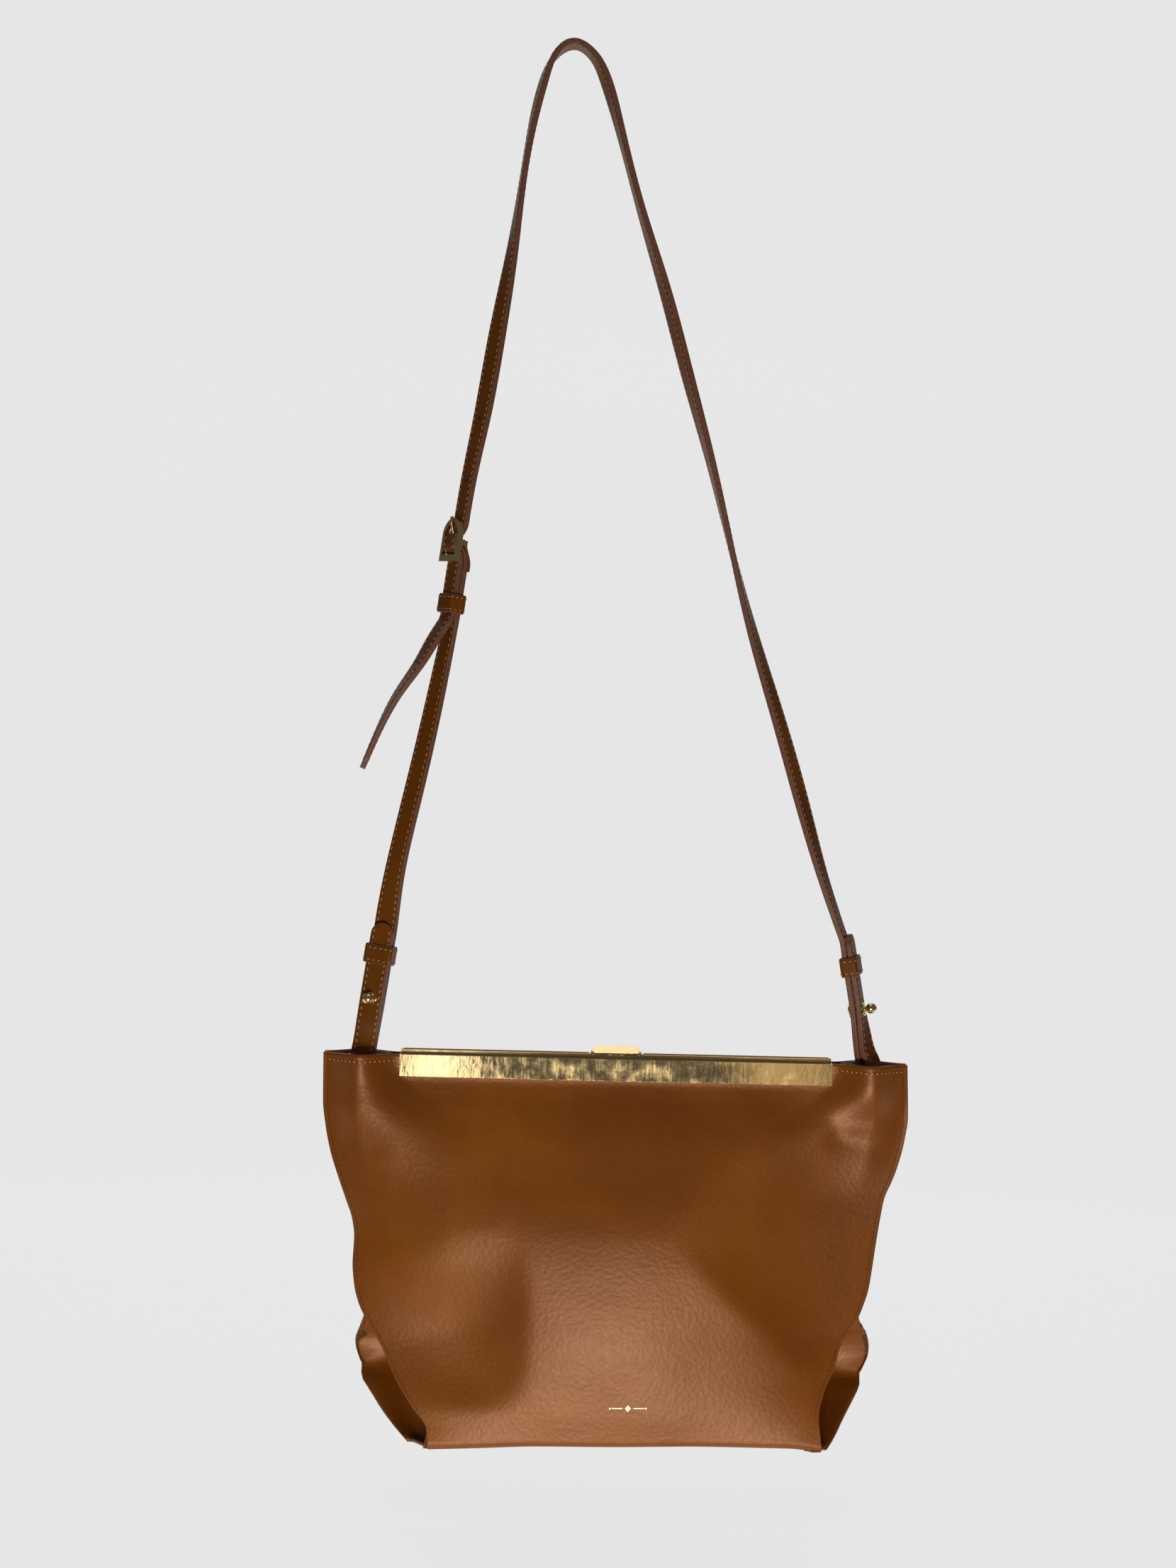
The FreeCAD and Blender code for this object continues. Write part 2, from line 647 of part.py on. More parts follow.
def local_stations(placement, path, end=None):
    """Stations of a path in a frame's Y-Z plane, twisted if it is a folded end; each entry is y, z,
    thickness and width."""
    made = []
    for i, (y, z, thick, width) in enumerate(path):
        before, after = path[max(i - 1, 0)], path[min(i + 1, len(path) - 1)]
        run = Vector(0, after[0] - before[0], after[1] - before[1])
        run.normalize()
        there = placement.multiply(twisted(end, z)) if end else placement
        across = there.Rotation.multVec(Vector(1, 0, 0))
        outward = there.Rotation.multVec(run.cross(Vector(1, 0, 0)))
        made.append(station(there.multVec(Vector(0, y, z)), across, outward, thick, width))
    return made


def run_stations(points, steps):
    """Stations along a smooth curve through points, with the width turned as each point says."""
    curve = Part.BSplineCurve()
    curve.interpolate([Vector(*p[:3]) for p in points])
    knots = [curve.parameter(Vector(*p[:3])) for p in points]
    made = []
    for i in range(steps + 1):
        u = curve.FirstParameter + (curve.LastParameter - curve.FirstParameter) * i / steps
        k = max(j for j in range(len(knots)) if knots[j] <= u + 1e-9)
        k = min(k, len(knots) - 2)
        share = (u - knots[k]) / (knots[k + 1] - knots[k])
        ease = share * share * (3 - 2 * share)
        turn = math.radians(points[k][3] + (points[k + 1][3] - points[k][3]) * ease)
        along = curve.tangent(u)[0]
        across = Vector(math.cos(turn), math.sin(turn), 0)
        across = across - along * across.dot(along)
        across.normalize()
        outward = across.cross(along)
        made.append(station(curve.value(u), across, outward))
    return made


def folded_end(top):
    """The path of a folded strap end in its frame: down the rear layer, round the ring, up to the tip."""
    thick, wide = size("strap_thick"), size("strap_width")
    back_to_front = thick + size("layer_gap")
    turn = bar_offset()
    path = [(0.0, top, thick, wide)] + [(0.0, up, thick, wide) for up in (TWIST_TO, 30.0, 22.0, 14.0, 6.0)]
    steps = 8
    for i in range(steps + 1):
        angle = math.pi * i / steps
        path.append((-turn + turn * math.cos(angle), -turn * math.sin(angle), thick, wide))
    path += [(-2 * turn + 0.5, 4.0, thick, wide), (-back_to_front - 0.7, 9.0, thick, wide)]
    path += [(-back_to_front, up, thick, wide) for up in (14.0, 22.0, 30.0, TWIST_TO, size("tip_up") - 7.0)]
    for up, share in ((4.0, 0.92), (2.0, 0.76), (0.7, 0.52), (0.0, 0.28)):
        path.append((-back_to_front, size("tip_up") - up, thick, wide * share))
    return path


# The long strap's way through the buckle, in the buckle's frame (y, z): over the centre bar and
# behind the frame above and below it.
LONG_IN_BUCKLE = [
    (2.3, 17.5),
    (2.3, 13.0),
    (2.1, 9.8),
    (0.9, 6.4),
    (-1.2, 3.2),
    (-2.35, 0.6),
    (-2.35, -0.6),
    (-1.4, -3.0),
    (0.3, -4.8),
    (1.9, -6.9),
    (2.4, -9.8),
    (2.4, -13.0),
]
# The short strap's fold round the centre bar: its sewn end behind, then its main layer in front
# (y, z, thickness).
FOLD_END = [(8.1, -14.5, 1.2), (7.6, -9.0, 1.2), (6.2, -5.6, 1.2), (4.7, -2.4, 1.2)]
FOLD_MAIN = [(2.9, -3.4, 1.2), (4.3, -5.8, 1.5), (5.4, -8.8, 2.3), (5.7, -12.5, 3.0)]
STACK_REAR = 5.7


def buckle_frame_at():
    return frame(BUCKLE_AT, BUCKLE_TURN, BUCKLE_LEAN)


def long_strap_stations(buckle, right):
    """Loose end, buckle, left run, crown, right run and the folded right end, in that order."""
    thick, wide = size("strap_thick"), size("strap_width")
    down = TAIL_KEEPER_DOWN + 9.0
    path = [(y, z, thick, wide) for y, z in LONG_IN_BUCKLE] + [(LONG_IN_BUCKLE[-1][0], -down, thick, wide)]
    through = local_stations(buckle, path)
    tail_start = through[-1][0]
    tail = run_stations([(tail_start.x, tail_start.y, tail_start.z, BUCKLE_TURN)] + TAIL_RUN, 14)[1:]
    point, across, outward, *_ = tail[-1]
    along = across.cross(outward)
    along = along if along.z < 0 else along * -1
    shares = ((2.5, 0.9), (4.5, 0.66), (5.8, 0.34))
    tip = [(point + along * step, across, outward, thick, wide * share) for step, share in shares]
    head = through[0][0]
    folded = local_stations(right, folded_end(size("tip_up") - 2.0), RIGHT_END)
    foot = folded[0][0]
    run = [(head.x, head.y, head.z, BUCKLE_TURN)] + LONG_RUN_LEFT + LONG_RUN_RIGHT
    run += [(foot.x, foot.y, foot.z, RIGHT_END[1] - 180.0)]
    return tip[::-1] + tail[::-1] + through[::-1] + run_stations(run, 92)[1:-1] + folded


def short_strap_stations(buckle, left):
    """The fold round the buckle's bar, the left run and the folded left end, in that order."""
    thick, wide = size("strap_thick"), size("strap_width")
    bar_y, bend = size("bar_set_back"), 1.9
    path = [(y, z, t, wide) for y, z, t in FOLD_END]
    for degrees in range(0, 241, 40):
        angle = math.radians(degrees)
        path.append((bar_y + bend * math.cos(angle), bend * math.sin(angle), size("fold_thick"), wide))
    path += [(y, z, t, wide) for y, z, t in FOLD_MAIN]
    path += [(STACK_REAR, -22.0, thick, wide), (STACK_REAR, -TAIL_KEEPER_DOWN - 9.0, thick, wide)]
    fold = local_stations(buckle, path)
    lower = local_stations(left, folded_end(size("tip_up") - 2.0), LEFT_END)
    start, end = fold[-1][0], lower[0][0]
    run = [(start.x, start.y, start.z, BUCKLE_TURN)] + SHORT_RUN + [(end.x, end.y, end.z, LEFT_END[1])]
    return fold + run_stations(run, 26)[1:-1] + lower


def same_sense(stations):
    """Keeps each station's width and outer directions on the same side as the one before it."""
    made = []
    for point, across, outward, thick, width in stations:
        if made and made[-1][1].dot(across) < 0:
            across = across * -1
        if made and made[-1][2].dot(outward) < 0:
            outward = outward * -1
        made.append((point, across, outward, thick, width))
    return made


def placed(shape, placement):
    moved = shape.copy()
    moved.Placement = placement.multiply(moved.Placement)
    return moved


def stud_frame(placement, end):
    return placement.multiply(twisted(end, size("stud_up")))


def stud_hole(placement):
    """The post's hole through both layers of a folded end."""
    start = Vector(0, -9, size("stud_up"))
    hole = Part.makeCylinder(size("stud_post") / 2 + 0.15, 14.0, start, Vector(0, 1, 0))
    return placed(hole, placement)


def make_strap_nodes():
    left, right, buckle = ring_frame(-1, LEFT_END), ring_frame(1, RIGHT_END), buckle_frame_at()
    long_strap = ribbon(same_sense(long_strap_stations(buckle, right)))
    short_strap = ribbon(same_sense(short_strap_stations(buckle, left)))
    prong_slot = placed(Part.makeBox(2.8, 12.0, 8.2, Vector(-1.4, -6.0, -0.6)), buckle)
    eye_room = placed(Part.makeBox(3.4, 8.0, 6.6, Vector(-1.7, -2.0, -3.6)), buckle)
    feature("long_strap", long_strap.cut([stud_hole(stud_frame(right, RIGHT_END)), prong_slot]))
    feature("short_strap", short_strap.cut([stud_hole(stud_frame(left, LEFT_END)), eye_room]))
    return left, right, buckle


# ---------------------------------------------------------------- rings, studs, keepers, buckle


def ring_shape():
    """A rounded rectangular ring in the X-Z plane, hanging from the middle of its top bar."""
    wire_r = size("ring_wire") / 2
    half = size("ring_inside") / 2 + wire_r
    drop, corner = size("ring_drop"), size("ring_corner")
    edges = []
    corners = [(half, 0.0), (half, -drop), (-half, -drop), (-half, 0.0)]
    turns = [(-1, -1), (-1, 1), (1, 1), (1, -1)]
    ends = []
    for (x, z), (sx, sz) in zip(corners, turns):
        centre = Vector(x + sx * corner, 0, z + sz * corner)
        flat = centre - Vector(0, 0, sz * corner)
        upright = centre - Vector(sx * corner, 0, 0)
        bow = centre - Vector(sx, 0, sz) * (corner / math.sqrt(2))
        ends.append((flat, bow, upright))
    order = [ends[0], ends[1][::-1], ends[2], ends[3][::-1]]
    for i, (first, bow, last) in enumerate(order):
        edges.append(Part.Arc(first, bow, last).toShape())
        edges.append(Part.LineSegment(last, order[(i + 1) % 4][0]).toShape())
    path = Part.Wire(edges)
    start = order[0][0]
    profile = Part.Wire(Part.makeCircle(wire_r, start, Vector(1, 0, 0)))
    ring = path.makePipeShell([profile], True, True)
    if ring.Volume < 0:
        ring.reverse()
    return ring


def ring_placement(placement):
    """The ring hangs in the strap's turn and leans with it."""
    return Placement(placement.multVec(Vector(0, -bar_offset(), 0)), placement.Rotation)


def make_ring_and_tab(name, placement, hand):
    at = ring_placement(placement)
    feature(f"{name}_ring", ring_shape(), at)
    inside, wall_t, wide = size("tab_inside"), size("tab_wall"), size("tab_width")
    low = -size("ring_drop")
    start = Vector(-wide / 2, 0, low)
    loop = Part.makeCylinder(inside + wall_t, wide, start, Vector(1, 0, 0))
    bore = Part.makeCylinder(inside, wide + 2, start - Vector(1, 0, 0), Vector(1, 0, 0))
    loop = placed(loop.cut(bore), at)
    # the two layers below the loop, led in to the valley of the folded side
    across = at.Rotation.multVec(Vector(1, 0, 0))
    inward = at.Rotation.multVec(Vector(0, 1, 0))
    top = at.multVec(Vector(0, 0, low - inside - 0.3))
    foot_depth = 36.0
    foot_x = level_value(VALLEY_X, foot_depth) + 7.5
    foot = Vector(size("bag_x") + hand * foot_x, 0, -size("drop") - foot_depth)
    outlines = []
    sections = ((0.0, wide / 2, wall_t), (0.35, wide / 2, wall_t), (1.0, wide / 2 - 0.5, 1.1))
    for share, half_w, half_t in sections:
        middle = top + (foot - top) * share
        wide_dir = across * (1 - share) + Vector(math.copysign(1, across.x), 0, 0) * share
        wide_dir.normalize()
        thick_dir = inward * (1 - share) + Vector(0, 1, 0) * share
        thick_dir.normalize()
        a, o = wide_dir * half_w, thick_dir * half_t
        outlines.append([middle - a - o, middle + a - o, middle + a + o, middle - a + o])
    feature(f"{name}_ring_tab", loop.fuse(loft(outlines)).removeSplitter())


def revolved(label, outline, placement):
    """A PartDesign body turned about its Z axis; the outline is radius and height pairs."""
    body = doc.addObject("PartDesign::Body", label)
    sketch = body_sketch(body, label + "_profile", "XZ_Plane")
    points = [Vector(r, z, 0) for r, z in outline]
    for i, point in enumerate(points):
        sketch.addGeometry(Part.LineSegment(point, points[(i + 1) % len(points)]), False)
    for i in range(len(points)):
        sketch.addConstraint(Sketcher.Constraint("Coincident", i, 2, (i + 1) % len(points), 1))
    turn = body.newObject("PartDesign::Revolution", label + "_turn")
    turn.Profile = sketch
    turn.ReferenceAxis = (sketch, ["V_Axis"])
    turn.Angle = 360.0
    body.Tip = turn
    body.Placement = placement
    return node(body, label)


def make_stud(name, placement):
    """A screw-in stud: a ball on a post in front of the strap, and a base screw behind it."""
    ball, post, base = size("stud_ball") / 2, size("stud_post") / 2, size("stud_base") / 2
    thick = size("strap_thick")
    front = thick + size("layer_gap") + thick / 2 + 0.1
    back = thick / 2 + 0.1
    # height above the middle of the rear layer, towards the front
    seat, neck = size("stud_seat") / 2, front + 1.7
    centre = neck + math.sqrt(ball**2 - 1.5**2)
    arc = [math.radians(a) for a in range(-60, 91, 15)]
    head = [(0.0, back - 1.6), (post, back - 1.6), (post, front), (seat, front), (seat - 0.3, front + 0.7)]
    head += [(1.5, front + 0.9)]
    head += [(max(ball * math.cos(a), 0.0), centre + ball * math.sin(a)) for a in arc]
    outward = Placement(Vector(0, 0, size("stud_up")), Rotation(Vector(0, 0, 1), Vector(0, -1, 0)))
    revolved(f"{name}_stud_head", head, placement.multiply(outward))
    screw = [(0.0, -back - 1.4), (base - 0.5, -back - 1.4), (base, -back - 0.9), (base, -back), (0.0, -back)]
    revolved(f"{name}_stud_base", screw, placement.multiply(outward))


def make_keeper(label, placement, up, layers_from, layers_to):
    """A leather band round the strap's layers: a padded frame with rounded corners."""
    body = doc.addObject("PartDesign::Body", label)
    sketch = body_sketch(body, label + "_section", "XY_Plane")
    middle = f"{(layers_from + layers_to) / 2:.3f}"
    half_t = f"{(layers_to - layers_from) / 2:.3f} + dims.keeper_play"
    half_w = "dims.strap_width / 2 + dims.keeper_play"
    rectangle(sketch, f"{half_w} + dims.keeper_wall", f"{half_t} + dims.keeper_wall", middle)
    rectangle(sketch, half_w, half_t, middle)
    band = pad(body, sketch, "dims.keeper_height", True)
    doc.recompute()
    fillet = body.newObject("PartDesign::Fillet", label + "_edges")
    reach = size("strap_width") / 2 + size("keeper_play") + 0.5
    outer = [
        f"Edge{i + 1}"
        for i, e in enumerate(band.Shape.Edges)
        if abs(e.Vertexes[0].Z - e.Vertexes[1].Z) > 1 and abs(e.Vertexes[0].X) > reach
    ]
    fillet.Base = (band, outer)
    fillet.Radius = 1.0
    body.Tip = fillet
    body.Placement = placement.multiply(Placement(Vector(0, 0, up), Rotation()))
    return node(body, label)


def make_end_pieces(name, placement, hand, end):
    make_ring_and_tab(name, placement, hand)
    make_stud(name, stud_frame(placement, end))
    thick = size("strap_thick")
    front = -(thick + size("layer_gap")) - thick / 2
    keeper_frame = placement.multiply(twisted(end, size("keeper_up")))
    make_keeper(f"{name}_keeper", keeper_frame, size("keeper_up"), front, thick / 2)


def buckle_outline(inset):
    """The frame's outline: an arch on upright sides, and a lower bar that is wider than the rails."""
    side = size("buckle_half") - inset
    shoulder = size("buckle_top") - 8.0
    crown = size("buckle_top") - inset
    low = -size("buckle_foot") + (size("buckle_foot_bar") if inset else 0.0)
    bow = Part.Arc(Vector(side, 0, shoulder), Vector(0, 0, crown), Vector(-side, 0, shoulder))
    corners = [
        Vector(-side, 0, shoulder), Vector(-side, 0, low), Vector(side, 0, low), Vector(side, 0, shoulder)
    ]
    edges = [Part.LineSegment(corners[i], corners[i + 1]).toShape() for i in range(3)]
    return Part.Face(Part.Wire([bow.toShape()] + edges))


def make_buckle(placement):
    """The buckle's frame with its set-back centre bar, and the prong on that bar."""
    half, rail, thick = size("buckle_half"), size("buckle_rail"), size("buckle_thick")
    plane, set_back = -size("buckle_plane"), size("bar_set_back")
    bar_r = size("buckle_bar") / 2
    across = Vector(0, thick, 0)
    plate = buckle_outline(0.0).extrude(across).cut(buckle_outline(rail).extrude(across))
    plate.translate(Vector(0, plane - thick / 2, 0))
    bar = Part.makeCylinder(bar_r, 2 * half - 1.0, Vector(-half + 0.5, set_back, 0), Vector(1, 0, 0))
    lug_depth = set_back - plane + bar_r
    lugs = [
        Part.makeBox(rail - 0.7, lug_depth, 3.2, Vector(x, plane, -1.6))
        for x in (-half + 0.2, half - rail + 0.5)
    ]
    feature("buckle_frame", plate.fuse([bar] + lugs).removeSplitter(), placement)

    body_r = size("prong_body") / 2
    eye = Part.makeCylinder(bar_r + 0.9, 2.6, Vector(-1.3, set_back, 0), Vector(1, 0, 0))
    hole = Part.makeCylinder(bar_r + 0.06, 4.0, Vector(-2.0, set_back, 0), Vector(1, 0, 0))
    root = Vector(0, set_back - bar_r - 0.8, 1.2)
    rest = Vector(0, plane - thick / 2 - body_r - 0.12, size("buckle_top") - 2.6)
    run = rest - root
    arm = Part.makeCylinder(body_r, run.Length, root, run)
    nose = Part.makeCylinder(body_r, 2.6, rest, Vector(0, 0, 1))
    ends = [Part.makeSphere(body_r, rest), Part.makeSphere(body_r, rest + Vector(0, 0, 2.6))]
    feature("buckle_prong", eye.fuse([arm, nose] + ends).cut(hole).removeSplitter(), placement)


def export_all():
    doc.recompute()
    os.makedirs("parts", exist_ok=True)
    bad = [o.Label for o in doc.Objects if "Invalid" in o.State or "Error" in o.State]
    if bad:
        raise SystemExit(f"failed objects: {bad}")
    for thing in nodes:
        shape = thing.Shape
        if shape.isNull() or not shape.isValid() or shape.Volume <= 0:
            raise SystemExit(f"{thing.Label} has no valid solid")
    for thing in nodes:
        thing.Shape.exportStep(os.path.join("parts", thing.Label + ".step"))
        bounds = thing.Shape.BoundBox
        print(f"{thing.Label:20s} solids {len(thing.Shape.Solids)} volume {thing.Shape.Volume:9.1f}"
              f"  x {bounds.XMin:.1f} {bounds.XMax:.1f}  z {bounds.ZMin:.1f} {bounds.ZMax:.1f}")


def main():
    fill_sheet()
    make_soft_walls()
    make_base()
    make_pocket()
    make_bar("front_bar", -1)
    make_bar("back_bar", 1)
    make_bar_fillings("front", -1)
    make_bar_fillings("back", 1)
    make_clasp()
    left, right, buckle = make_strap_nodes()
    make_end_pieces("left", left, -1, LEFT_END)
    make_end_pieces("right", right, 1, RIGHT_END)
    make_buckle(buckle)
    half = size("strap_thick") / 2
    make_keeper("tail_keeper", buckle, -TAIL_KEEPER_DOWN, LONG_IN_BUCKLE[-1][0] - half, STACK_REAR + half)
    export_all()


main()
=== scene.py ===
"""A leather shoulder bag with a metal clasp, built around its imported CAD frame.

Shapes are worked out in millimetres and become metres, times MM, as they reach a mesh. The strap's
routes, the buckle, the lights and the camera are placed in metres. The bag's own places are "along"
from its middle and "down" from its rim, both in millimetres, with the front towards -Y.
"""

import json
import math

import bmesh
import bpy
import numpy as np
from mathutils import Matrix, Vector, noise

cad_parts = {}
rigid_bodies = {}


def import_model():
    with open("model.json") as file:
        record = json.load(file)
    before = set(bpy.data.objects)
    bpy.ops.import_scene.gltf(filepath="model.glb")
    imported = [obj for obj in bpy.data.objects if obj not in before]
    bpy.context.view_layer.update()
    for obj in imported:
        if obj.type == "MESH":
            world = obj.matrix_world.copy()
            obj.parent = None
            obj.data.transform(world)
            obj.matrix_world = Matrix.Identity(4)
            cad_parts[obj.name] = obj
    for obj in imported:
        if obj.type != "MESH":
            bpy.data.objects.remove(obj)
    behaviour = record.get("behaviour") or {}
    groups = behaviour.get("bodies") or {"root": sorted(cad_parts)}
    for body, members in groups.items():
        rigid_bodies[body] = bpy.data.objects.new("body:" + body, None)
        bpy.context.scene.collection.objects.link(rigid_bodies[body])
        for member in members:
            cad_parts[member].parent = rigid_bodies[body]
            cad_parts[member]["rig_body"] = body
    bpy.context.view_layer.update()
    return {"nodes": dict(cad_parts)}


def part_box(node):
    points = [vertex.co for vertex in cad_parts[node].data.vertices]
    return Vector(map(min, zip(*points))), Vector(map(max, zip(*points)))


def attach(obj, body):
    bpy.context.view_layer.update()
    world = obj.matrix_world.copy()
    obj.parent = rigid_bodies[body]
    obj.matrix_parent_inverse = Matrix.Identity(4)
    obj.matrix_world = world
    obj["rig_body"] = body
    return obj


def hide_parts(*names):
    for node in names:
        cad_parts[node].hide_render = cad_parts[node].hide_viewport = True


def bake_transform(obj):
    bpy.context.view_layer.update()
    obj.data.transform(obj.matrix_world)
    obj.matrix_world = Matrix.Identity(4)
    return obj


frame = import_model()
MM = 0.001

bar_low, bar_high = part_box("front_bar")
BAG_X = (bar_low.x + bar_high.x) / 2
RIM_Z = bar_high.z
BAR_END = (bar_high.x - bar_low.x) / 2 / MM
BASE_DOWN = (RIM_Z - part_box("base_panel")[0].z) / MM


# ---------------------------------------------------------------- curves and small tools


def cubic(t, a, b, slope_a, slope_b):
    """A cubic from a to b, for t from 0 to 1, that leaves and arrives with given slopes."""
    return (
        (2 * t**3 - 3 * t**2 + 1) * a + (t**3 - 2 * t**2 + t) * slope_a
        + (3 * t**2 - 2 * t**3) * b + (t**3 - t**2) * slope_b
    )


class Curve:
    """A smooth curve through known places and values that doesn't overshoot between them."""

    def __init__(self, *pairs):
        self.x, self.y = np.array(pairs, float).T
        h = np.diff(self.x)
        slope = np.diff(self.y) / h
        m = np.zeros(len(self.x))
        m[0], m[-1] = slope[0], slope[-1]
        for i in range(1, len(h)):
            if slope[i - 1] * slope[i] > 0:
                a, b = 2 * h[i] + h[i - 1], h[i] + 2 * h[i - 1]
                m[i] = (a + b) / (a / slope[i - 1] + b / slope[i])
        self.m, self.h = m, h

    def __call__(self, t):
        t = np.clip(np.asarray(t, float), self.x[0], self.x[-1])
        i = np.clip(np.searchsorted(self.x, t, side="right") - 1, 0, len(self.h) - 1)
        h = self.h[i]
        return cubic((t - self.x[i]) / h, self.y[i], self.y[i + 1], h * self.m[i], h * self.m[i + 1])


def smooth(low, high, t):
    s = np.clip((np.asarray(t, float) - low) / (high - low), 0, 1)
    return s * s * (3 - 2 * s)


def bag_points(along, down, out):
    """Points in metres from bag measures; out is towards the back."""
    return np.stack([BAG_X + along * MM, out * MM, RIM_Z - down * MM], axis=-1)


def add_object(name, verts, faces, materials, uvs=None, face_slots=None, shade=True):
    mesh = bpy.data.meshes.new(name)
    mesh.from_pydata([tuple(v) for v in verts], [], [tuple(int(i) for i in f) for f in faces])
    mesh.validate()
    if uvs is not None:
        layer = mesh.uv_layers.new(name="UVMap")
        index = np.zeros(len(mesh.loops), np.int32)
        mesh.loops.foreach_get("vertex_index", index)
        layer.data.foreach_set("uv", np.asarray(uvs, np.float32)[index].ravel())
    for material in materials:
        mesh.materials.append(material)
    if face_slots is not None:
        mesh.polygons.foreach_set("material_index", np.asarray(face_slots, np.int32))
    obj = bpy.data.objects.new(name, mesh)
    bpy.context.scene.collection.objects.link(obj)
    if shade:
        mesh.polygons.foreach_set("use_smooth", [True] * len(mesh.polygons))
    return obj


def grid_faces(rows, columns, closed=False):
    faces = []
    for r in range(rows - 1):
        for c in range(columns if closed else columns - 1):
            d = (c + 1) % columns
            faces.append((r * columns + c, r * columns + d, (r + 1) * columns + d, (r + 1) * columns + c))
    return faces


def sheet_object(name, outer, inward, thick, materials, uv, flip=False):
    """A closed sheet of even thickness: outer is rows x columns of points, inward their unit
    directions. Faces round the rim take the second material."""
    rows, columns = outer.shape[:2]
    inner = outer + inward * thick
    count = rows * columns
    verts = np.concatenate([outer.reshape(-1, 3), inner.reshape(-1, 3)])
    front = grid_faces(rows, columns)
    faces = front + [tuple(i + count for i in reversed(f)) for f in front]
    slots = [0] * len(front) + [2 if len(materials) > 2 else 0] * len(front)
    border = list(range(columns))
    border += [r * columns + columns - 1 for r in range(1, rows)]
    border += [(rows - 1) * columns + c for c in range(columns - 2, -1, -1)]
    border += [r * columns for r in range(rows - 2, 0, -1)]
    for a, b in zip(border, border[1:] + border[:1]):
        faces.append((b, a, a + count, b + count))
        slots.append(1 if len(materials) > 1 else 0)
    if flip:
        faces = [tuple(reversed(f)) for f in faces]
    uvs = np.concatenate([uv.reshape(-1, 2), uv.reshape(-1, 2)])
    return add_object(name, verts, faces, materials, uvs, slots)


def unit(v):
    """Unit vectors along the last axis."""
    return v / np.maximum(np.linalg.norm(v, axis=-1, keepdims=True), 1e-12)


def normals_of(points):
    """Unit normals of a grid of points."""
    return unit(np.cross(np.gradient(points, axis=1), np.gradient(points, axis=0)))


def length_to(points):
    """The length run to each of a line of points."""
    return np.concatenate([[0], np.cumsum(np.linalg.norm(np.diff(points, axis=0), axis=1))])


def dress(obj, body, slot, *nodes):
    """Says which body a piece rides on and the CAD nodes that it stands for; its colour slot is not used."""
    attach(obj, body)
    if nodes:
        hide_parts(*nodes)


def face_outwards(obj):
    work = bmesh.new()
    work.from_mesh(obj.data)
    bmesh.ops.recalc_face_normals(work, faces=work.faces)
    work.to_mesh(obj.data)
    work.free()


def noise_grid(points, size_mm, seed):
    """Smooth noise of a given feature size at each point, about -1 to 1."""
    flat = points.reshape(-1, 3) / (size_mm * MM) + seed
    return np.array([noise.noise(Vector(p)) for p in flat]).reshape(points.shape[:-1])


# ---------------------------------------------------------------- materials


class Nodes:
    """A short way to build a material's node tree."""

    def __init__(self, name):
        self.material = bpy.data.materials.new(name)
        self.material.use_nodes = True
        self.tree = self.material.node_tree
        self.shader = self.tree.nodes["Principled BSDF"]

    def feed(self, socket, value):
        if isinstance(value, bpy.types.NodeSocket):
            self.tree.links.new(value, socket)
        else:
            socket.default_value = value

    def add(self, kind, inputs, **settings):
        made = self.tree.nodes.new(kind)
        for key, value in settings.items():
            setattr(made, key, value)
        for key, value in inputs.items():
            self.feed(made.inputs[key], value)
        return made

    def set(self, key, value):
        self.feed(self.shader.inputs[key], value)

    def place(self, scale=(1, 1, 1), uv=False):
        out = self.add("ShaderNodeTexCoord", {}).outputs["UV" if uv else "Object"]
        return self.add("ShaderNodeMapping", {"Vector": out, "Scale": scale}).outputs[0]

    def noise(self, at, scale, detail=3.0, rough=0.5, distortion=0.0):
        inputs = {"Vector": at, "Scale": scale, "Detail": detail, "Roughness": rough}
        return self.add("ShaderNodeTexNoise", {**inputs, "Distortion": distortion}).outputs["Fac"]

    def ramp(self, value, *stops):
        made = self.add("ShaderNodeValToRGB", {"Fac": value})
        ramp = made.color_ramp
        while len(ramp.elements) < len(stops):
            ramp.elements.new(0.5)
        for element, (position, colour) in zip(ramp.elements, stops):
            element.position = position
            element.color = (*colour, 1)
        return made.outputs["Color"]

    def spread(self, value, low_in, high_in, low, high):
        inputs = {"Value": value, "From Min": low_in, "From Max": high_in, "To Min": low, "To Max": high}
        return self.add("ShaderNodeMapRange", inputs).outputs[0]

    def mix(self, share, a, b, blend="MIX"):
        a, b = ((*colour, 1) if isinstance(colour, tuple) else colour for colour in (a, b))
        made = self.add("ShaderNodeMix", {0: share, 6: a, 7: b}, data_type="RGBA", blend_type=blend)
        return made.outputs[2]

    def maths(self, operation, a, b):
        return self.add("ShaderNodeMath", {0: a, 1: b}, operation=operation).outputs[0]

    def bump(self, *layers):
        """Bump from pairs of height and distance in metres, one on top of the other."""
        normal = None
        for height, distance in layers:
            inputs = {"Height": height, "Distance": distance, "Strength": 1.0}
            if normal is not None:
                inputs["Normal"] = normal
            normal = self.add("ShaderNodeBump", inputs).outputs[0]
        self.set("Normal", normal)


def srgb(*levels):
    """Scene-linear colour from red, green and blue of 0 to 255."""
    shares = [level / 255 for level in levels]
    return tuple(c / 12.92 if c <= 0.04045 else ((c + 0.055) / 1.055) ** 2.4 for c in shares)


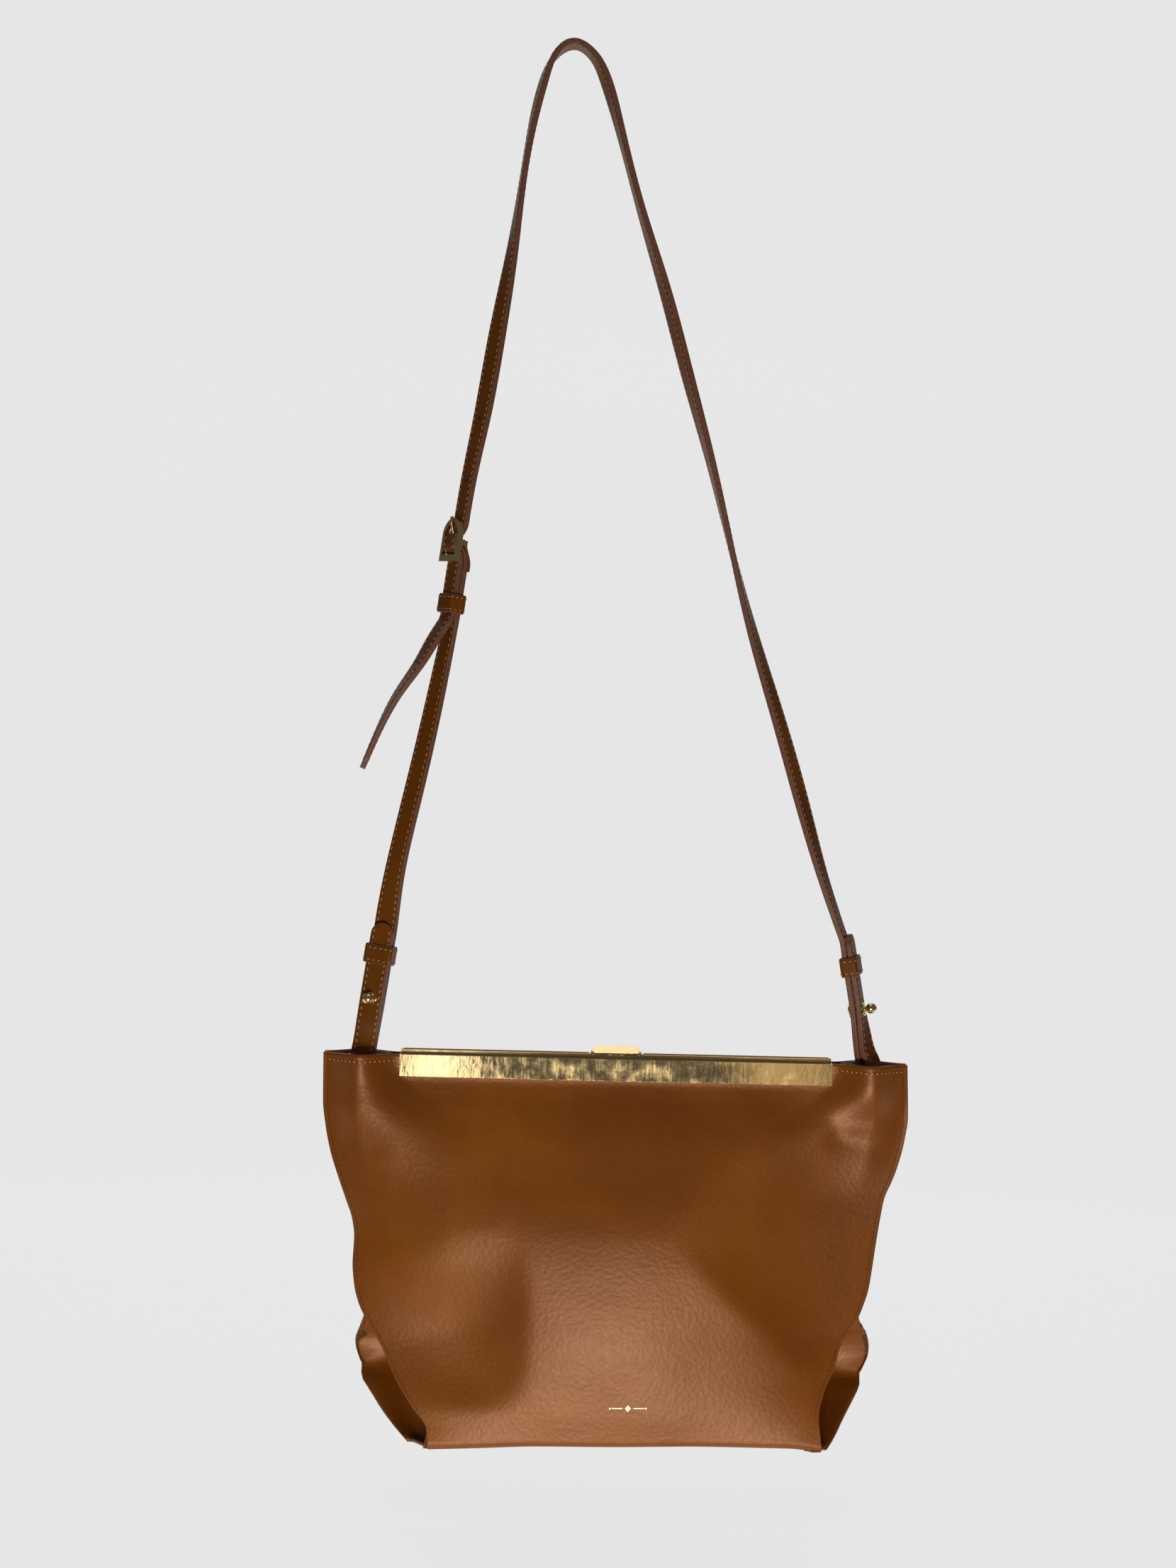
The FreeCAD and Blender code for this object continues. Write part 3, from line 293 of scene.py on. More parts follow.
def leather(name, deep, middle, light, grain=1.0, uv=False, rough=0.41, shine=0.5):
    """Calf leather: slow colour changes, fine grain with pores, and a soft satin finish."""
    n = Nodes(name)
    at = n.place(uv=uv)
    slow = n.noise(at, 14.0, 3.0, 0.55, 0.4)
    fine = n.noise(at, 420.0, 2.0, 0.6)
    pores = n.add("ShaderNodeTexVoronoi", {"Vector": at, "Scale": 900.0 / grain})
    cells = {"Vector": at, "Scale": 520.0 / grain, "Smoothness": 0.6}
    pebble = n.add("ShaderNodeTexVoronoi", cells, feature="SMOOTH_F1")
    wrinkle = n.noise(at, 190.0 / grain, 4.0, 0.65, 1.2)
    tone = n.ramp(slow, (0.30, deep), (0.52, middle), (0.74, light))
    pore_shade = n.spread(pores.outputs["Distance"], 0.0, 0.55, 0.84, 1.04)
    pore_grey = n.add("ShaderNodeCombineColor", {i: pore_shade for i in range(3)}).outputs[0]
    shaded = n.mix(1.0, tone, pore_grey, "MULTIPLY")
    speck = n.spread(fine, 0.35, 0.65, 0.0, 0.16)
    n.set("Base Color", n.mix(speck, shaded, light))
    n.set("Roughness", n.spread(wrinkle, 0.3, 0.7, rough, rough + 0.04))
    n.set("Specular IOR Level", shine)
    n.set("Specular Tint", (1.0, 0.60, 0.38, 1.0))
    n.bump(
        (wrinkle, 0.00003),
        (pebble.outputs["Distance"], 0.00007 * grain),
        (n.noise(at, 1600.0, 2.0, 0.6), 0.00002),
    )
    return n.material


def fibrous(name, dark, light, noise_settings, roughness, bump, stretch=(1, 1, 1), metallic=0.0):
    """A plain material of one noise from dark to light: cut edges, steel, board and the painted
    shade of holes. Its roughness is one number, or a pair that the noise runs between."""
    n = Nodes(name)
    fibres = n.noise(n.place(stretch), *noise_settings)
    n.set("Base Color", n.ramp(fibres, (0.3, dark), (0.7, light)))
    n.set("Metallic", metallic)
    n.set("Roughness", n.spread(fibres, 0.3, 0.7, *roughness) if isinstance(roughness, tuple) else roughness)
    n.bump((fibres, bump))
    return n.material


def thread(name, dark, light):
    """Waxed sewing thread, twisted."""
    n = Nodes(name)
    wave = {"Vector": n.place(), "Scale": 900.0, "Distortion": 1.5}
    twist = n.add("ShaderNodeTexWave", wave, bands_direction="DIAGONAL").outputs["Fac"]
    n.set("Base Color", n.ramp(twist, (0.1, dark), (0.8, light)))
    n.set("Roughness", 0.6)
    n.bump((twist, 0.00008))
    return n.material


def suede(name, dark, light):
    """Brushed suede lining."""
    n = Nodes(name)
    at = n.place()
    nap = n.noise(at, 1300.0, 3.0, 0.7)
    brushed = n.noise(at, 26.0, 3.0, 0.6, 1.5)
    colour = n.mix(n.spread(brushed, 0.3, 0.7, 0.0, 0.7), dark, light)
    n.set("Base Color", n.mix(n.spread(nap, 0.35, 0.65, 0.0, 0.5), colour, light))
    n.set("Roughness", 0.9)
    n.set("Sheen Weight", 0.35)
    n.set("Sheen Roughness", 0.4)
    n.bump((nap, 0.00012))
    return n.material


def gold(name, rough=0.13, ripple=0.0):
    """Polished pale gold plate, with fine rub marks; ripple is the depth of slow waves, in metres."""
    n = Nodes(name)
    rubbed = n.noise(n.place((900.0, 900.0, 90.0)), 1.0, 3.0, 0.6)
    haze = n.noise(n.place(), 120.0, 3.0, 0.6)
    tint = (0.93, 0.70, 0.36)
    warm = tuple(c * f for c, f in zip(tint, (0.86, 0.80, 0.62)))
    n.set("Base Color", n.mix(n.spread(haze, 0.35, 0.7, 0.0, 0.55), tint, warm))
    n.set("Metallic", 1.0)
    smudge = n.spread(haze, 0.3, 0.75, rough - 0.04, rough + 0.09)
    n.set("Roughness", n.maths("ADD", smudge, n.spread(rubbed, 0.4, 0.8, 0.0, 0.05)))
    layers = [(rubbed, 0.000004)]
    if ripple:
        waves = n.noise(n.place((1.0, 1.0, 0.5)), 46.0, 2.0, 0.5, 1.2)
        cracks = n.noise(n.place((1.0, 1.0, 0.45)), 170.0, 4.0, 0.62, 2.6)
        layers = [(waves, ripple), (cracks, ripple * 0.24)] + layers
    n.bump(*layers)
    return n.material


BAG_LEATHER = leather("bag_leather", srgb(115, 58, 2), srgb(125, 65, 3), srgb(137, 75, 8), 1.15, shine=0.8)
INNER_LEATHER = leather("turned_leather", srgb(82, 44, 14), srgb(96, 54, 20), srgb(110, 64, 30))
STRAP_LEATHER = leather(
    "strap_leather", srgb(96, 50, 3), srgb(108, 58, 5), srgb(124, 70, 14), 0.8, True, 0.42, 0.3
)
CUT_EDGE = ((900.0, 4.0, 0.7, 0.6), (0.42, 0.62), 0.00010)
BAG_EDGE = fibrous("bag_edge", srgb(92, 52, 24), srgb(140, 92, 58), *CUT_EDGE)
STRAP_EDGE = fibrous("strap_edge", srgb(86, 46, 26), srgb(136, 88, 64), *CUT_EDGE)
TAN_THREAD = thread("tan_thread", srgb(168, 108, 58), srgb(224, 172, 116))
BROWN_THREAD = thread("brown_thread", srgb(84, 44, 16), srgb(132, 80, 38))
LINING = suede("lining_suede", srgb(44, 26, 14), srgb(78, 48, 28))
GOLD = gold("gold_plate")
GOLD_FACE = gold("gold_face", 0.05, 0.00011)
STEEL = fibrous(
    "steel", (0.42, 0.42, 0.44), (0.60, 0.60, 0.62), (1.0, 3.0, 0.6), (0.22, 0.38), 0.00001,
    (60.0, 900.0, 900.0), 1.0,
)
BOARD = fibrous(
    "stiffener_board", srgb(96, 82, 66), srgb(142, 124, 100), (700.0, 4.0, 0.7, 0.8), 0.85, 0.00010,
    (1.0, 0.35, 1.0),
)
# Holes are not cut: dark discs in this material are the painted shade of needle and buckle holes.
HOLE_SHADE = fibrous("painted_hole_shade", srgb(22, 11, 5), srgb(44, 23, 11), (1500.0, 3.0, 0.6), 0.9, 0.00005)
FOIL = gold("gold_foil", 0.3)


# ---------------------------------------------------------------- the bag's soft walls

LEATHER_MM = 1.6
POCKET_BAND_IN = LEATHER_MM + 2.5
# How far each side edge of the front and of the back stands from the middle, at each depth.
FRONT_LEFT = Curve(
    (0, 160.6), (26, 160.2), (40, 158.3), (53, 155.4), (67, 150.6), (80, 145.6), (89, 142.3),
    (99, 140.8), (112, 141.2), (124, 139.9), (133, 137.3), (141, 133.2), (149, 127.8), (157, 122.6),
    (171, 115.4), (185, 105.2), (195, 97.6), (206, 96.4),
)
FRONT_RIGHT = Curve(
    (0, 159.9), (28, 160.7), (42, 158.8), (56, 155.2), (64, 152.2), (73, 148.3), (86, 145.8),
    (100, 143.6), (113, 141.7), (123, 139.9), (131, 137.2), (138, 134.2), (151, 125.2), (164, 121.0),
    (175, 115.6), (188, 112.6), (199, 113.6), (206, 114.2),
)
BACK_LEFT = Curve(
    (0, 160.6), (26, 160.2), (40, 158.3), (67, 150.4), (99, 140.0), (124, 137.6), (145, 137.0),
    (156, 138.6), (168, 140.8), (176, 139.6), (186, 133.0), (197, 118.0), (206, 99.0),
)
BACK_RIGHT = Curve(
    (0, 159.9), (28, 160.7), (42, 158.8), (73, 148.0), (100, 142.6), (131, 137.8), (143, 138.8),
    (155, 142.6), (166, 144.4), (175, 142.6), (186, 135.6), (197, 124.0), (206, 112.0),
)
# Outer depth of a wall in the middle and at its side seams.
FRONT_MIDDLE = Curve(
    (0, 6.7), (13, 6.7), (20, 8.4), (30, 12.8), (45, 19.4), (62, 26.2), (80, 32.0), (96, 35.6),
    (115, 37.8), (135, 38.8), (160, 39.3), (185, 39.2), (206, 38.4),
)
BACK_MIDDLE = Curve(
    (0, 6.7), (14, 6.7), (30, 10.2), (60, 19.0), (100, 28.6), (145, 36.4), (180, 39.0), (206, 38.4)
)
SEAM = Curve(
    (0, 4.6), (14, 4.6), (40, 6.0), (75, 9.0), (110, 12.4), (140, 17.6), (165, 25.4), (185, 33.0),
    (206, 38.0),
)
# The lower edge of the front, from left to right: it sags at the corners. The back's is level.
LOWER_EDGE = Curve(
    (-1, 207.4), (-0.75, 206.3), (-0.4, 204.6), (0, 204.0), (0.5, 202.6), (0.85, 202.6), (1, 204.2)
)
BACK_LOWER_EDGE = 205.0
BASE_HALF_DEPTH = 36.4
CORNER_MM = 3.2
RIM_STANDS_OUT_MM = 11.5
BULGE_AT = 0.871
EDGE_SOFT = 2.5
VALLEY_ALONG, RING_ALONG = 124.5, 139.5
RIM_ROW_DOWN, POCKET_ROW_DOWN = 3.6, 72.0
RIM_HALF_LENGTH, SEAM_ROW_SHARE = 160.5, 0.984
WALL_SKINS = [BAG_LEATHER, BAG_EDGE, INNER_LEATHER]

# Folds of the front, as (along, down) points in the order that they are drawn.
UPPER_RIGHT_FOLD = [(112, 34), (126, 41), (143, 43), (153, 38)]
UPPER_LEFT_FOLD = [(-158, 34), (-149, 44), (-136, 50), (-118, 54)]


def along_path(along, down, path):
    """For each point, its distance to a path, the side of the path that it is on (+1 to the right
    of the way the path is drawn) and its share of the way along."""
    points = [np.array(p, float) for p in path]
    lengths = [np.linalg.norm(b - a) for a, b in zip(points, points[1:])]
    total = sum(lengths)
    best = np.full(np.shape(along), 1e9)
    side = np.zeros(np.shape(along))
    share = np.zeros(np.shape(along))
    done = 0.0
    for a, b, length in zip(points, points[1:], lengths):
        run = (b - a) / length
        dx, dy = along - a[0], down - a[1]
        t = np.clip(dx * run[0] + dy * run[1], 0, length)
        away = np.hypot(dx - run[0] * t, dy - run[1] * t)
        nearer = away < best
        best = np.where(nearer, away, best)
        side = np.where(nearer, np.sign(run[0] * dy - run[1] * dx), side)
        share = np.where(nearer, (done + t) / total, share)
        done += length
    return best, side, share


def fold(along, down, path, height, near, far, ends=0.16):
    """A fold along a path: it falls off over near on the right of the path and far on its left."""
    away, side, share = along_path(along, down, path)
    width = np.where(side > 0, near, far)
    fade = smooth(0, ends, share) * smooth(0, ends, 1 - share)
    return height * np.exp(-((away / width) ** 2)) * fade


def hollow(along, down, middle, spans, depth, turn=0.0):
    """A round hollow, turned by an angle in degrees."""
    c, s = math.cos(math.radians(turn)), math.sin(math.radians(turn))
    dx, dy = along - middle[0], down - middle[1]
    a, b = (dx * c + dy * s) / spans[0], (-dx * s + dy * c) / spans[1]
    return -depth * np.exp(-(a * a + b * b))


def soft_ramp(x, soft):
    """x where it is positive and zero where it is negative, with a soft start."""
    return soft * np.logaddexp(0, x / soft)


def left_step(along, down):
    """How far a point lies in the set-back left part: its edge runs down beside the middle and
    turns to the left above the base."""
    edge_along, edge_down, turn = -47, 186, 10.0
    beyond = turn * np.logaddexp((along - edge_along) / turn, (down - edge_down) / turn)
    fade = smooth(78, 138, down + 0.35 * (along - edge_along))
    return (1 - np.exp(-soft_ramp(-beyond, EDGE_SOFT) / 24)) * fade


def right_step(along, down):
    """How far a point lies in the set-back right part, whose edge runs down to the right."""
    edge_along, edge_down, diagonal = 57, 118, 0.707
    across = ((along - edge_along) - (down - edge_down)) * diagonal
    run = ((along - edge_along) + (down - edge_down)) * diagonal
    fade = smooth(-46, 14, run) * (1 - smooth(58, 92, run))
    return (1 - np.exp(-soft_ramp(across, EDGE_SOFT) / 22)) * fade


def front_relief(along, down):
    """The front's own hollows and folds, in millimetres outwards."""
    out = -13.0 * left_step(along, down) - 12.5 * right_step(along, down)
    out += fold(along, down, UPPER_RIGHT_FOLD, -2.2, 8, 7, 0.3)
    out += fold(along, down, UPPER_LEFT_FOLD, -1.8, 12, 14, 0.45)
    out += hollow(along, down, (0, 62), (96, 20), 1.6)
    out += hollow(along, down, (-4, 150), (44, 36), -1.8)
    return out


def back_relief(along, down):
    """The back hangs more evenly, with two slow hollows."""
    out = hollow(along, down, (60, 128), (34, 44), 5.0, 20)
    out += hollow(along, down, (-76, 150), (30, 36), 4.0, -20)
    return out


# Each wall's left and right edges, its depth in the middle, its relief, its side and its noise seed.
WALLS = {
    "front": (FRONT_LEFT, FRONT_RIGHT, FRONT_MIDDLE, front_relief, -1, 3.1),
    "back": (BACK_LEFT, BACK_RIGHT, BACK_MIDDLE, back_relief, 1, 8.7),
}


def wall_points(which, share, down, inset=0.0):
    """Points of a wall's outer face: share runs from -1 at the left seam to 1 at the right one."""
    left, right, middle, relief, side, seed = WALLS[which]
    half_l, half_r = left(down), right(down)
    along = np.where(share < 0, share * half_l, share * half_r)
    s = np.abs(share)
    lower = LOWER_EDGE(share) if which == "front" else BACK_LOWER_EDGE
    depth = middle(down) + (SEAM(down) - middle(down)) * (0.55 * s**2.2 + 0.45 * s**5)
    flank = np.where(s > BULGE_AT, 1 - BULGE_AT, 1 - BULGE_AT + 0.34 * smooth(4, 55, down))
    bulge = np.cos(np.pi / 2 * np.clip((s - BULGE_AT) / flank, -1, 1)) ** 2
    depth = depth + RIM_STANDS_OUT_MM * bulge * (1 - smooth(8, 78, down))
    calm = (1 - s**5) * smooth(12, 32, down) * (1 - smooth(190, 206, down))
    shown = down * lower / BASE_DOWN
    flat = bag_points(along, shown, 0 * along)
    wavy = 0.45 * noise_grid(flat, 46, seed) + 0.07 * noise_grid(flat, 17, seed + 4)
    depth = depth + (relief(along, down) + wavy) * calm - inset
    return bag_points(along, shown, side * depth)


def make_wall(which):
    """One outer wall, turned under at the base."""
    side = WALLS[which][4]
    crowding = math.pi / 2 * 0.86
    shares = np.sin(np.linspace(-1, 1, 181) * crowding) / math.sin(crowding)
    downs = np.linspace(0, BASE_DOWN - CORNER_MM, 131)
    share, down = np.meshgrid(shares, downs)
    points = wall_points(which, share, down)
    under = []
    last = points[-1]
    for angle in np.linspace(0, math.pi / 2, 6)[1:]:
        turned = np.array([0.0, side * (1 - math.cos(angle)), math.sin(angle)])
        under.append(last - turned * CORNER_MM * MM)
    points = np.concatenate([points, np.array(under)])
    inward = normals_of(points)
    inward *= -side * np.sign(inward[60, 90, 1])
    obj = sheet_object(
        f"{which}_wall", points, inward, LEATHER_MM * MM, WALL_SKINS, points[..., [0, 2]],
        flip=which == "back",
    )
    dress(obj, f"{which}_half", "bag_leather", f"{which}_panel")


for which in WALLS:
    make_wall(which)


def gusset_curve(hand):
    """Where a folded side runs at each depth: front seam, valley, crest and back seam, as curves of
    along (from the middle) and out (towards the back)."""
    front = FRONT_LEFT if hand < 0 else FRONT_RIGHT
    back = BACK_LEFT if hand < 0 else BACK_RIGHT
    valley_along = Curve(
        (0, VALLEY_ALONG), (14, 124), (40, 120), (75, 113), (110, 106), (140, 98), (165, 94), (182, 92),
        (206, 96.8 if hand < 0 else 106),
    )
    valley_out = Curve((0, 0), (150, 0), (170, -10), (185, -25), (206, -33))
    if hand < 0:
        crest = [
            (0, 128, 6), (150, 132, 22), (164, 140.8, 28), (173, 141.6, 27), (181, 139.4, 21),
            (188, 133.2, 12), (194.6, 126.4, 2), (200.7, 118.6, -8), (206, 108.4, -21),
        ]
    else:
        crest = [
            (0, 128, 6), (146, 136, 20), (156, 143.2, 25), (167, 145.2, 27), (176, 143.8, 25),
            (183, 139.6, 17), (190, 134.2, 6), (196, 128.6, -6), (202, 123.2, -18), (206, 117.6, -28),
        ]
    crest_along = Curve(*[(d, a) for d, a, _ in crest])
    crest_out = Curve(*[(d, o) for d, _, o in crest])
    return front, back, valley_along, valley_out, crest_along, crest_out


def catmull(points, count):
    """A smooth curve through points (rows), as count samples, as many in each stretch."""
    p = [2 * points[0] - points[1]] + list(points) + [2 * points[-1] - points[-2]]
    fine = []
    for i in range(1, len(p) - 2):
        for t in np.linspace(0, 1, 12, endpoint=False):
            a, b, c, d = p[i - 1], p[i], p[i + 1], p[i + 2]
            bend = (2 * a - 5 * b + 4 * c - d) * t * t + (3 * b - a - 3 * c + d) * t**3
            fine.append(0.5 * (2 * b + (c - a) * t + bend))
    fine.append(p[-2])
    fine = np.array(fine)
    at = np.linspace(0, len(fine) - 1, count)
    return np.stack([np.interp(at, np.arange(len(fine)), fine[:, k]) for k in range(fine.shape[1])], axis=1)


def gusset_sections(hand, downs, count):
    """Rows of (along, out) points for the front leg and for the back leg of a folded side. Near the
    rim both legs bulge round the strap's ring, and low down the back leg rolls over a crest."""
    front, back, valley_along, valley_out, crest_along, crest_out = gusset_curve(hand)
    legs = ([], [])
    behind = LEATHER_MM + 1.5
    for d in downs:
        seam = float(SEAM(d)) - behind
        follow = float(1 - smooth(10, 85, d))
        v = np.array([float(valley_along(d)), float(valley_out(d))])
        for side, edge, leg in ((-1, front, legs[0]), (1, back, legs[1])):
            end = np.array([float(edge(d)) - 0.7, side * seam])
            middle = v + (end - v) * 0.5
            soft = middle + np.array([0.0, side * 1.5])
            bulge = (12.6 if side > 0 else 11.0) * float(1 - smooth(0, 90, d))
            beside = np.array([RING_ALONG, side * (bulge + seam * 0.4)])
            crease = v + np.array([3.0, side * 1.6])
            near = soft * (1 - follow) + beside * follow
            route = [v, crease + (near - crease) * 0.18, near, end]
            if side > 0:
                low = float(smooth(120, 160, d))
                c = np.array([float(crest_along(d)), float(crest_out(d))])
                hidden = v + (c - v) * np.array([0.10, 0.56])
                shown = v + (c - v) * np.array([0.46, 0.92])
                apart = float(smooth(1, 15, np.linalg.norm(end - c)))
                near_end = end + (shown - end) * 0.08
                low_route = [v, hidden, shown, near_end * (1 - apart) + c * apart]
                high_route = [v, route[1], near, near + (end - near) * 0.6]
                route = [p * (1 - low) + q * low for p, q in zip(high_route, low_route)] + [end]
            row = catmull(np.array(route), count)
            leg.append(row if side > 0 else row[::-1])
    return np.array(legs[0]), np.array(legs[1])


def make_gusset(name, hand):
    """A folded side in two halves, the front's leg and the back's leg."""
    downs = np.concatenate(
        [np.linspace(0, 20, 7), np.linspace(26, 150, 26), np.linspace(153, BASE_DOWN - 0.2, 24)]
    )
    legs = gusset_sections(hand, downs, 33)
    for half, leg in (("front", legs[0]), ("back", legs[1])):
        along, out = leg[..., 0] * hand, leg[..., 1]
        to_back = np.clip((out + BASE_HALF_DEPTH) / (2 * BASE_HALF_DEPTH), 0, 1)
        lower = (LOWER_EDGE(float(hand)) * (1 - to_back) + BACK_LOWER_EDGE * to_back) / BASE_DOWN
        down = np.repeat(downs[:, None], leg.shape[1], axis=1)
        points = bag_points(along, down * lower, out)
        ripple = 0.35 * noise_grid(points, 30, 21.0 + hand)
        ripple *= smooth(16, 40, down) * (1 - smooth(190, 204, down))
        across = np.arange(leg.shape[1])
        taper = np.minimum(across, across[::-1]) / 6
        normal = normals_of(points)
        if normal[10, 15, 0] * hand > 0:
            normal = -normal
        points = points + normal * (ripple * np.clip(taper, 0, 1) * MM)[..., None]
        normal[..., 2] *= 1 - smooth(186, 203, down)
        normal = unit(normal)
        uv = np.stack([0 * along + (across + 1) * 0.0016, down * MM], axis=-1)
        obj = sheet_object(
            f"{name}_gusset_{half}", points, normal, LEATHER_MM * MM, WALL_SKINS, uv, flip=hand > 0
        )
        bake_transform(obj)
        if half == "front":
            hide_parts(f"{name}_gusset")


make_gusset("left", -1)
make_gusset("right", 1)


def make_base():
    """The base: a leather panel that follows the lower edges of the walls and sides."""
    ys = np.linspace(-BASE_HALF_DEPTH, BASE_HALF_DEPTH, 61)
    ends = {}
    for hand in (-1, 1):
        front_leg, back_leg = gusset_sections(hand, [BASE_DOWN - 0.2], 33)
        outline = np.concatenate([front_leg[0], back_leg[0]])
        order = np.argsort(outline[:, 1])
        edge = np.interp(ys, outline[order, 1], outline[order, 0])
        front_corner = float((FRONT_LEFT if hand < 0 else FRONT_RIGHT)(BASE_DOWN)) - 0.8
        crest = back_leg[0][np.argmax(back_leg[0][:, 0])]
        closed = np.interp(ys, [ys[0], crest[1]], [front_corner, crest[0]])
        edge = np.where(ys < crest[1], np.maximum(edge, closed), edge)
        even_edge = np.convolve(np.pad(edge, 3, mode="edge"), np.ones(7) / 7, mode="valid")
        past_crest = np.clip((ys - crest[1]) / 6, 0, 1)
        ends[hand] = edge + (even_edge - edge) * past_crest - 0.3
    share, y = np.meshgrid(np.linspace(-1, 1, 81), ys)
    along = np.where(share < 0, share * ends[-1][:, None], share * ends[1][:, None])
    to_back = (y + BASE_HALF_DEPTH) / (2 * BASE_HALF_DEPTH)
    down = LOWER_EDGE(share) * (1 - to_back) + BACK_LOWER_EDGE * to_back
    sag = 0.8 * np.cos(to_back * math.pi - math.pi / 2) * (1 - share**4)
    points = bag_points(along, down + sag - 0.2, y)
    inward = np.zeros_like(points)
    inward[..., 2] = 1
    uv = points[..., [0, 1]]
    dress(sheet_object("base_leather", points, inward, LEATHER_MM * MM, WALL_SKINS, uv),
          "bag", "bag_leather", "base_panel")
    for name, material, up, thick, slot, node in (
        ("base_stiffener", BOARD, 1.9, 1.9, "stiffener", "base_board"),
        ("base_suede", LINING, 4.0, 0.8, "lining", "base_lining"),
    ):
        inset = points.copy()
        inset[..., 0] = BAG_X + (inset[..., 0] - BAG_X) * 0.90
        inset[..., 1] *= 0.95
        inset[..., 2] += up * MM
        dress(sheet_object(name, inset, inward, thick * MM, [material], uv), "bag", slot, node)


make_base()


def patch(name, which, shares, downs, inset, thick, material, slot, *nodes):
    """A layer that follows a wall on its inner side."""
    share, down = np.meshgrid(shares, downs)
    points = wall_points(which, share, down, inset)
    inward = np.zeros_like(points)
    inward[..., 1] = -WALLS[which][4]
    uv = points[..., [0, 2]]
    obj = sheet_object(name, points, inward, thick * MM, [material], uv, flip=which == "back")
    dress(obj, f"{which}_half", slot, *nodes)


def make_inner_layers():
    """Suede linings, the turned leather beside the clasp bars, and the slip pocket at the back."""
    for which in WALLS:
        patch(f"{which}_suede", which, np.linspace(-0.8, 0.8, 97), np.linspace(14, BASE_DOWN - 5, 73),
              LEATHER_MM + 0.3, 0.8, LINING, "lining", f"{which}_lining")
        for hand, side_name, nodes in ((-1, "left", [f"{which}_rim_facings"]), (1, "right", [])):
            patch(f"{which}_facing_{side_name}", which, hand * np.linspace(0.745, 0.82, 9),
                  np.linspace(0.5, 13.5, 8), LEATHER_MM + 0.15, 0.5, INNER_LEATHER, "bag_leather", *nodes)
    shares = np.linspace(-0.45, 0.45, 49)
    patch("slip_pocket_suede", "back", shares, np.linspace(60, 165, 43), LEATHER_MM + 1.5, 0.8,
          LINING, "lining", "slip_pocket")
    patch("pocket_band", "back", shares, np.linspace(61, 75, 8), POCKET_BAND_IN, 1.0,
          INNER_LEATHER, "bag_leather", "pocket_trim")


make_inner_layers()


# ---------------------------------------------------------------- sewing


def thread_template():
    """One stitch, a unit long along X, as a thread that comes up, lies over and goes down again."""
    rings, around = 7, 6
    verts = []
    for i in range(rings):
        s = i / (rings - 1)
        height = -0.55 + 1.0 * math.sin(math.pi * s) ** 0.55
        thick = 0.62 + 0.38 * math.sin(math.pi * s)
        for k in range(around):
            a = 2 * math.pi * k / around
            verts.append((s - 0.5, thick * math.cos(a), height + 0.8 * thick * math.sin(a)))
    return np.array(verts), [(a, d, c, b) for a, b, c, d in grid_faces(rings, around, True)]


def disc_template():
    """A shallow dark dimple, a unit across: painted shade where a hole is."""
    around = 10
    turns = [2 * math.pi * k / around for k in range(around)]
    ring = [(math.cos(a), math.sin(a), 0.0) for a in turns]
    verts = ring + [(0.55 * x, 0.55 * y, 0.35) for x, y, _ in ring] + [(0, 0, 0.4)]
    faces = [(k, (k + 1) % around, around + (k + 1) % around, around + k) for k in range(around)]
    faces += [(around + k, around + (k + 1) % around, 2 * around) for k in range(around)]
    return np.array(verts), faces


THREAD_SHAPE, THREAD_FACES = thread_template()
DISC_SHAPE, DISC_FACES = disc_template()


def many(name, shape, faces, places, material):
    """Copies of a small shape: each place is its middle, its three axes and its three spans."""
    verts, all_faces = [], []
    for i, (middle, x, y, z, spans) in enumerate(places):
        spread = shape * np.array(spans)
        verts.append(middle + spread @ np.array([x, y, z]))
        base = i * len(shape)
        all_faces += [tuple(v + base for v in f) for f in faces]
    return add_object(name, np.concatenate(verts), all_faces, [material])


def sew(points, ups, pitch, length, radius, slant=0.0):
    """A row of stitches along a line of points; ups are the surface's outward directions there.
    Pitch, length and radius are in millimetres. Returns the stitches, and their needle holes as
    dark discs of painted shade, as places for many()."""
    points, ups = np.array(points), np.array(ups)
    length, radius = length * MM, radius * MM
    step = length_to(points)
    count = max(int(step[-1] / (pitch * MM)), 1)

    def between(values, at):
        return np.array([np.interp(at, step, values[:, k]) for k in range(3)])

    c, s = math.cos(slant), math.sin(slant)
    stitches, needles = [], []
    for i in range(count):
        at = (i + 0.5) * step[-1] / count
        spot = between(points, at)
        along = unit(between(points, min(at + 0.0008, step[-1])) - between(points, max(at - 0.0008, 0)))
        up = between(ups, at)
        up = unit(up - along * up.dot(along))
        across = np.cross(up, along)
        x, y = along * c + across * s, across * c - along * s
        stitches.append((spot, x, y, up, (length, radius, radius * 0.72)))
        for end in (-0.53, 0.53):
            hole_at = spot + x * length * end + up * 0.00003
            needles.append((hole_at, x, y, up, (radius * 1.15, radius, radius)))
    return stitches, needles


def finish_sewing(name, rows, body, slot, thread_material):
    """Makes the objects of several rows of stitches on one body."""
    stitches = [place for row in rows for place in row[0]]
    needles = [place for row in rows for place in row[1]]
    sewn = many(f"{name}_stitches", THREAD_SHAPE, THREAD_FACES, stitches, thread_material)
    # The needle holes are dark discs: painted shade where the thread goes in.
    holes = many(f"{name}_needle_hole_shade", DISC_SHAPE, DISC_FACES, needles, HOLE_SHADE)
    for obj in (sewn, holes):
        dress(obj, body, slot)


def wall_line(which, shares, downs):
    """Points on a wall's face and the outward directions there."""
    share, down = np.array([shares]), np.array([downs])
    here = wall_points(which, share, down)[0]
    aside = wall_points(which, share + 0.004, down)[0]
    below = wall_points(which, share, down + 0.7)[0]
    out = unit(np.cross(aside - here, below - here))
    out = np.where(out[:, 1:2] * WALLS[which][4] < 0, -out, out)
    return here + out * 0.00004, out


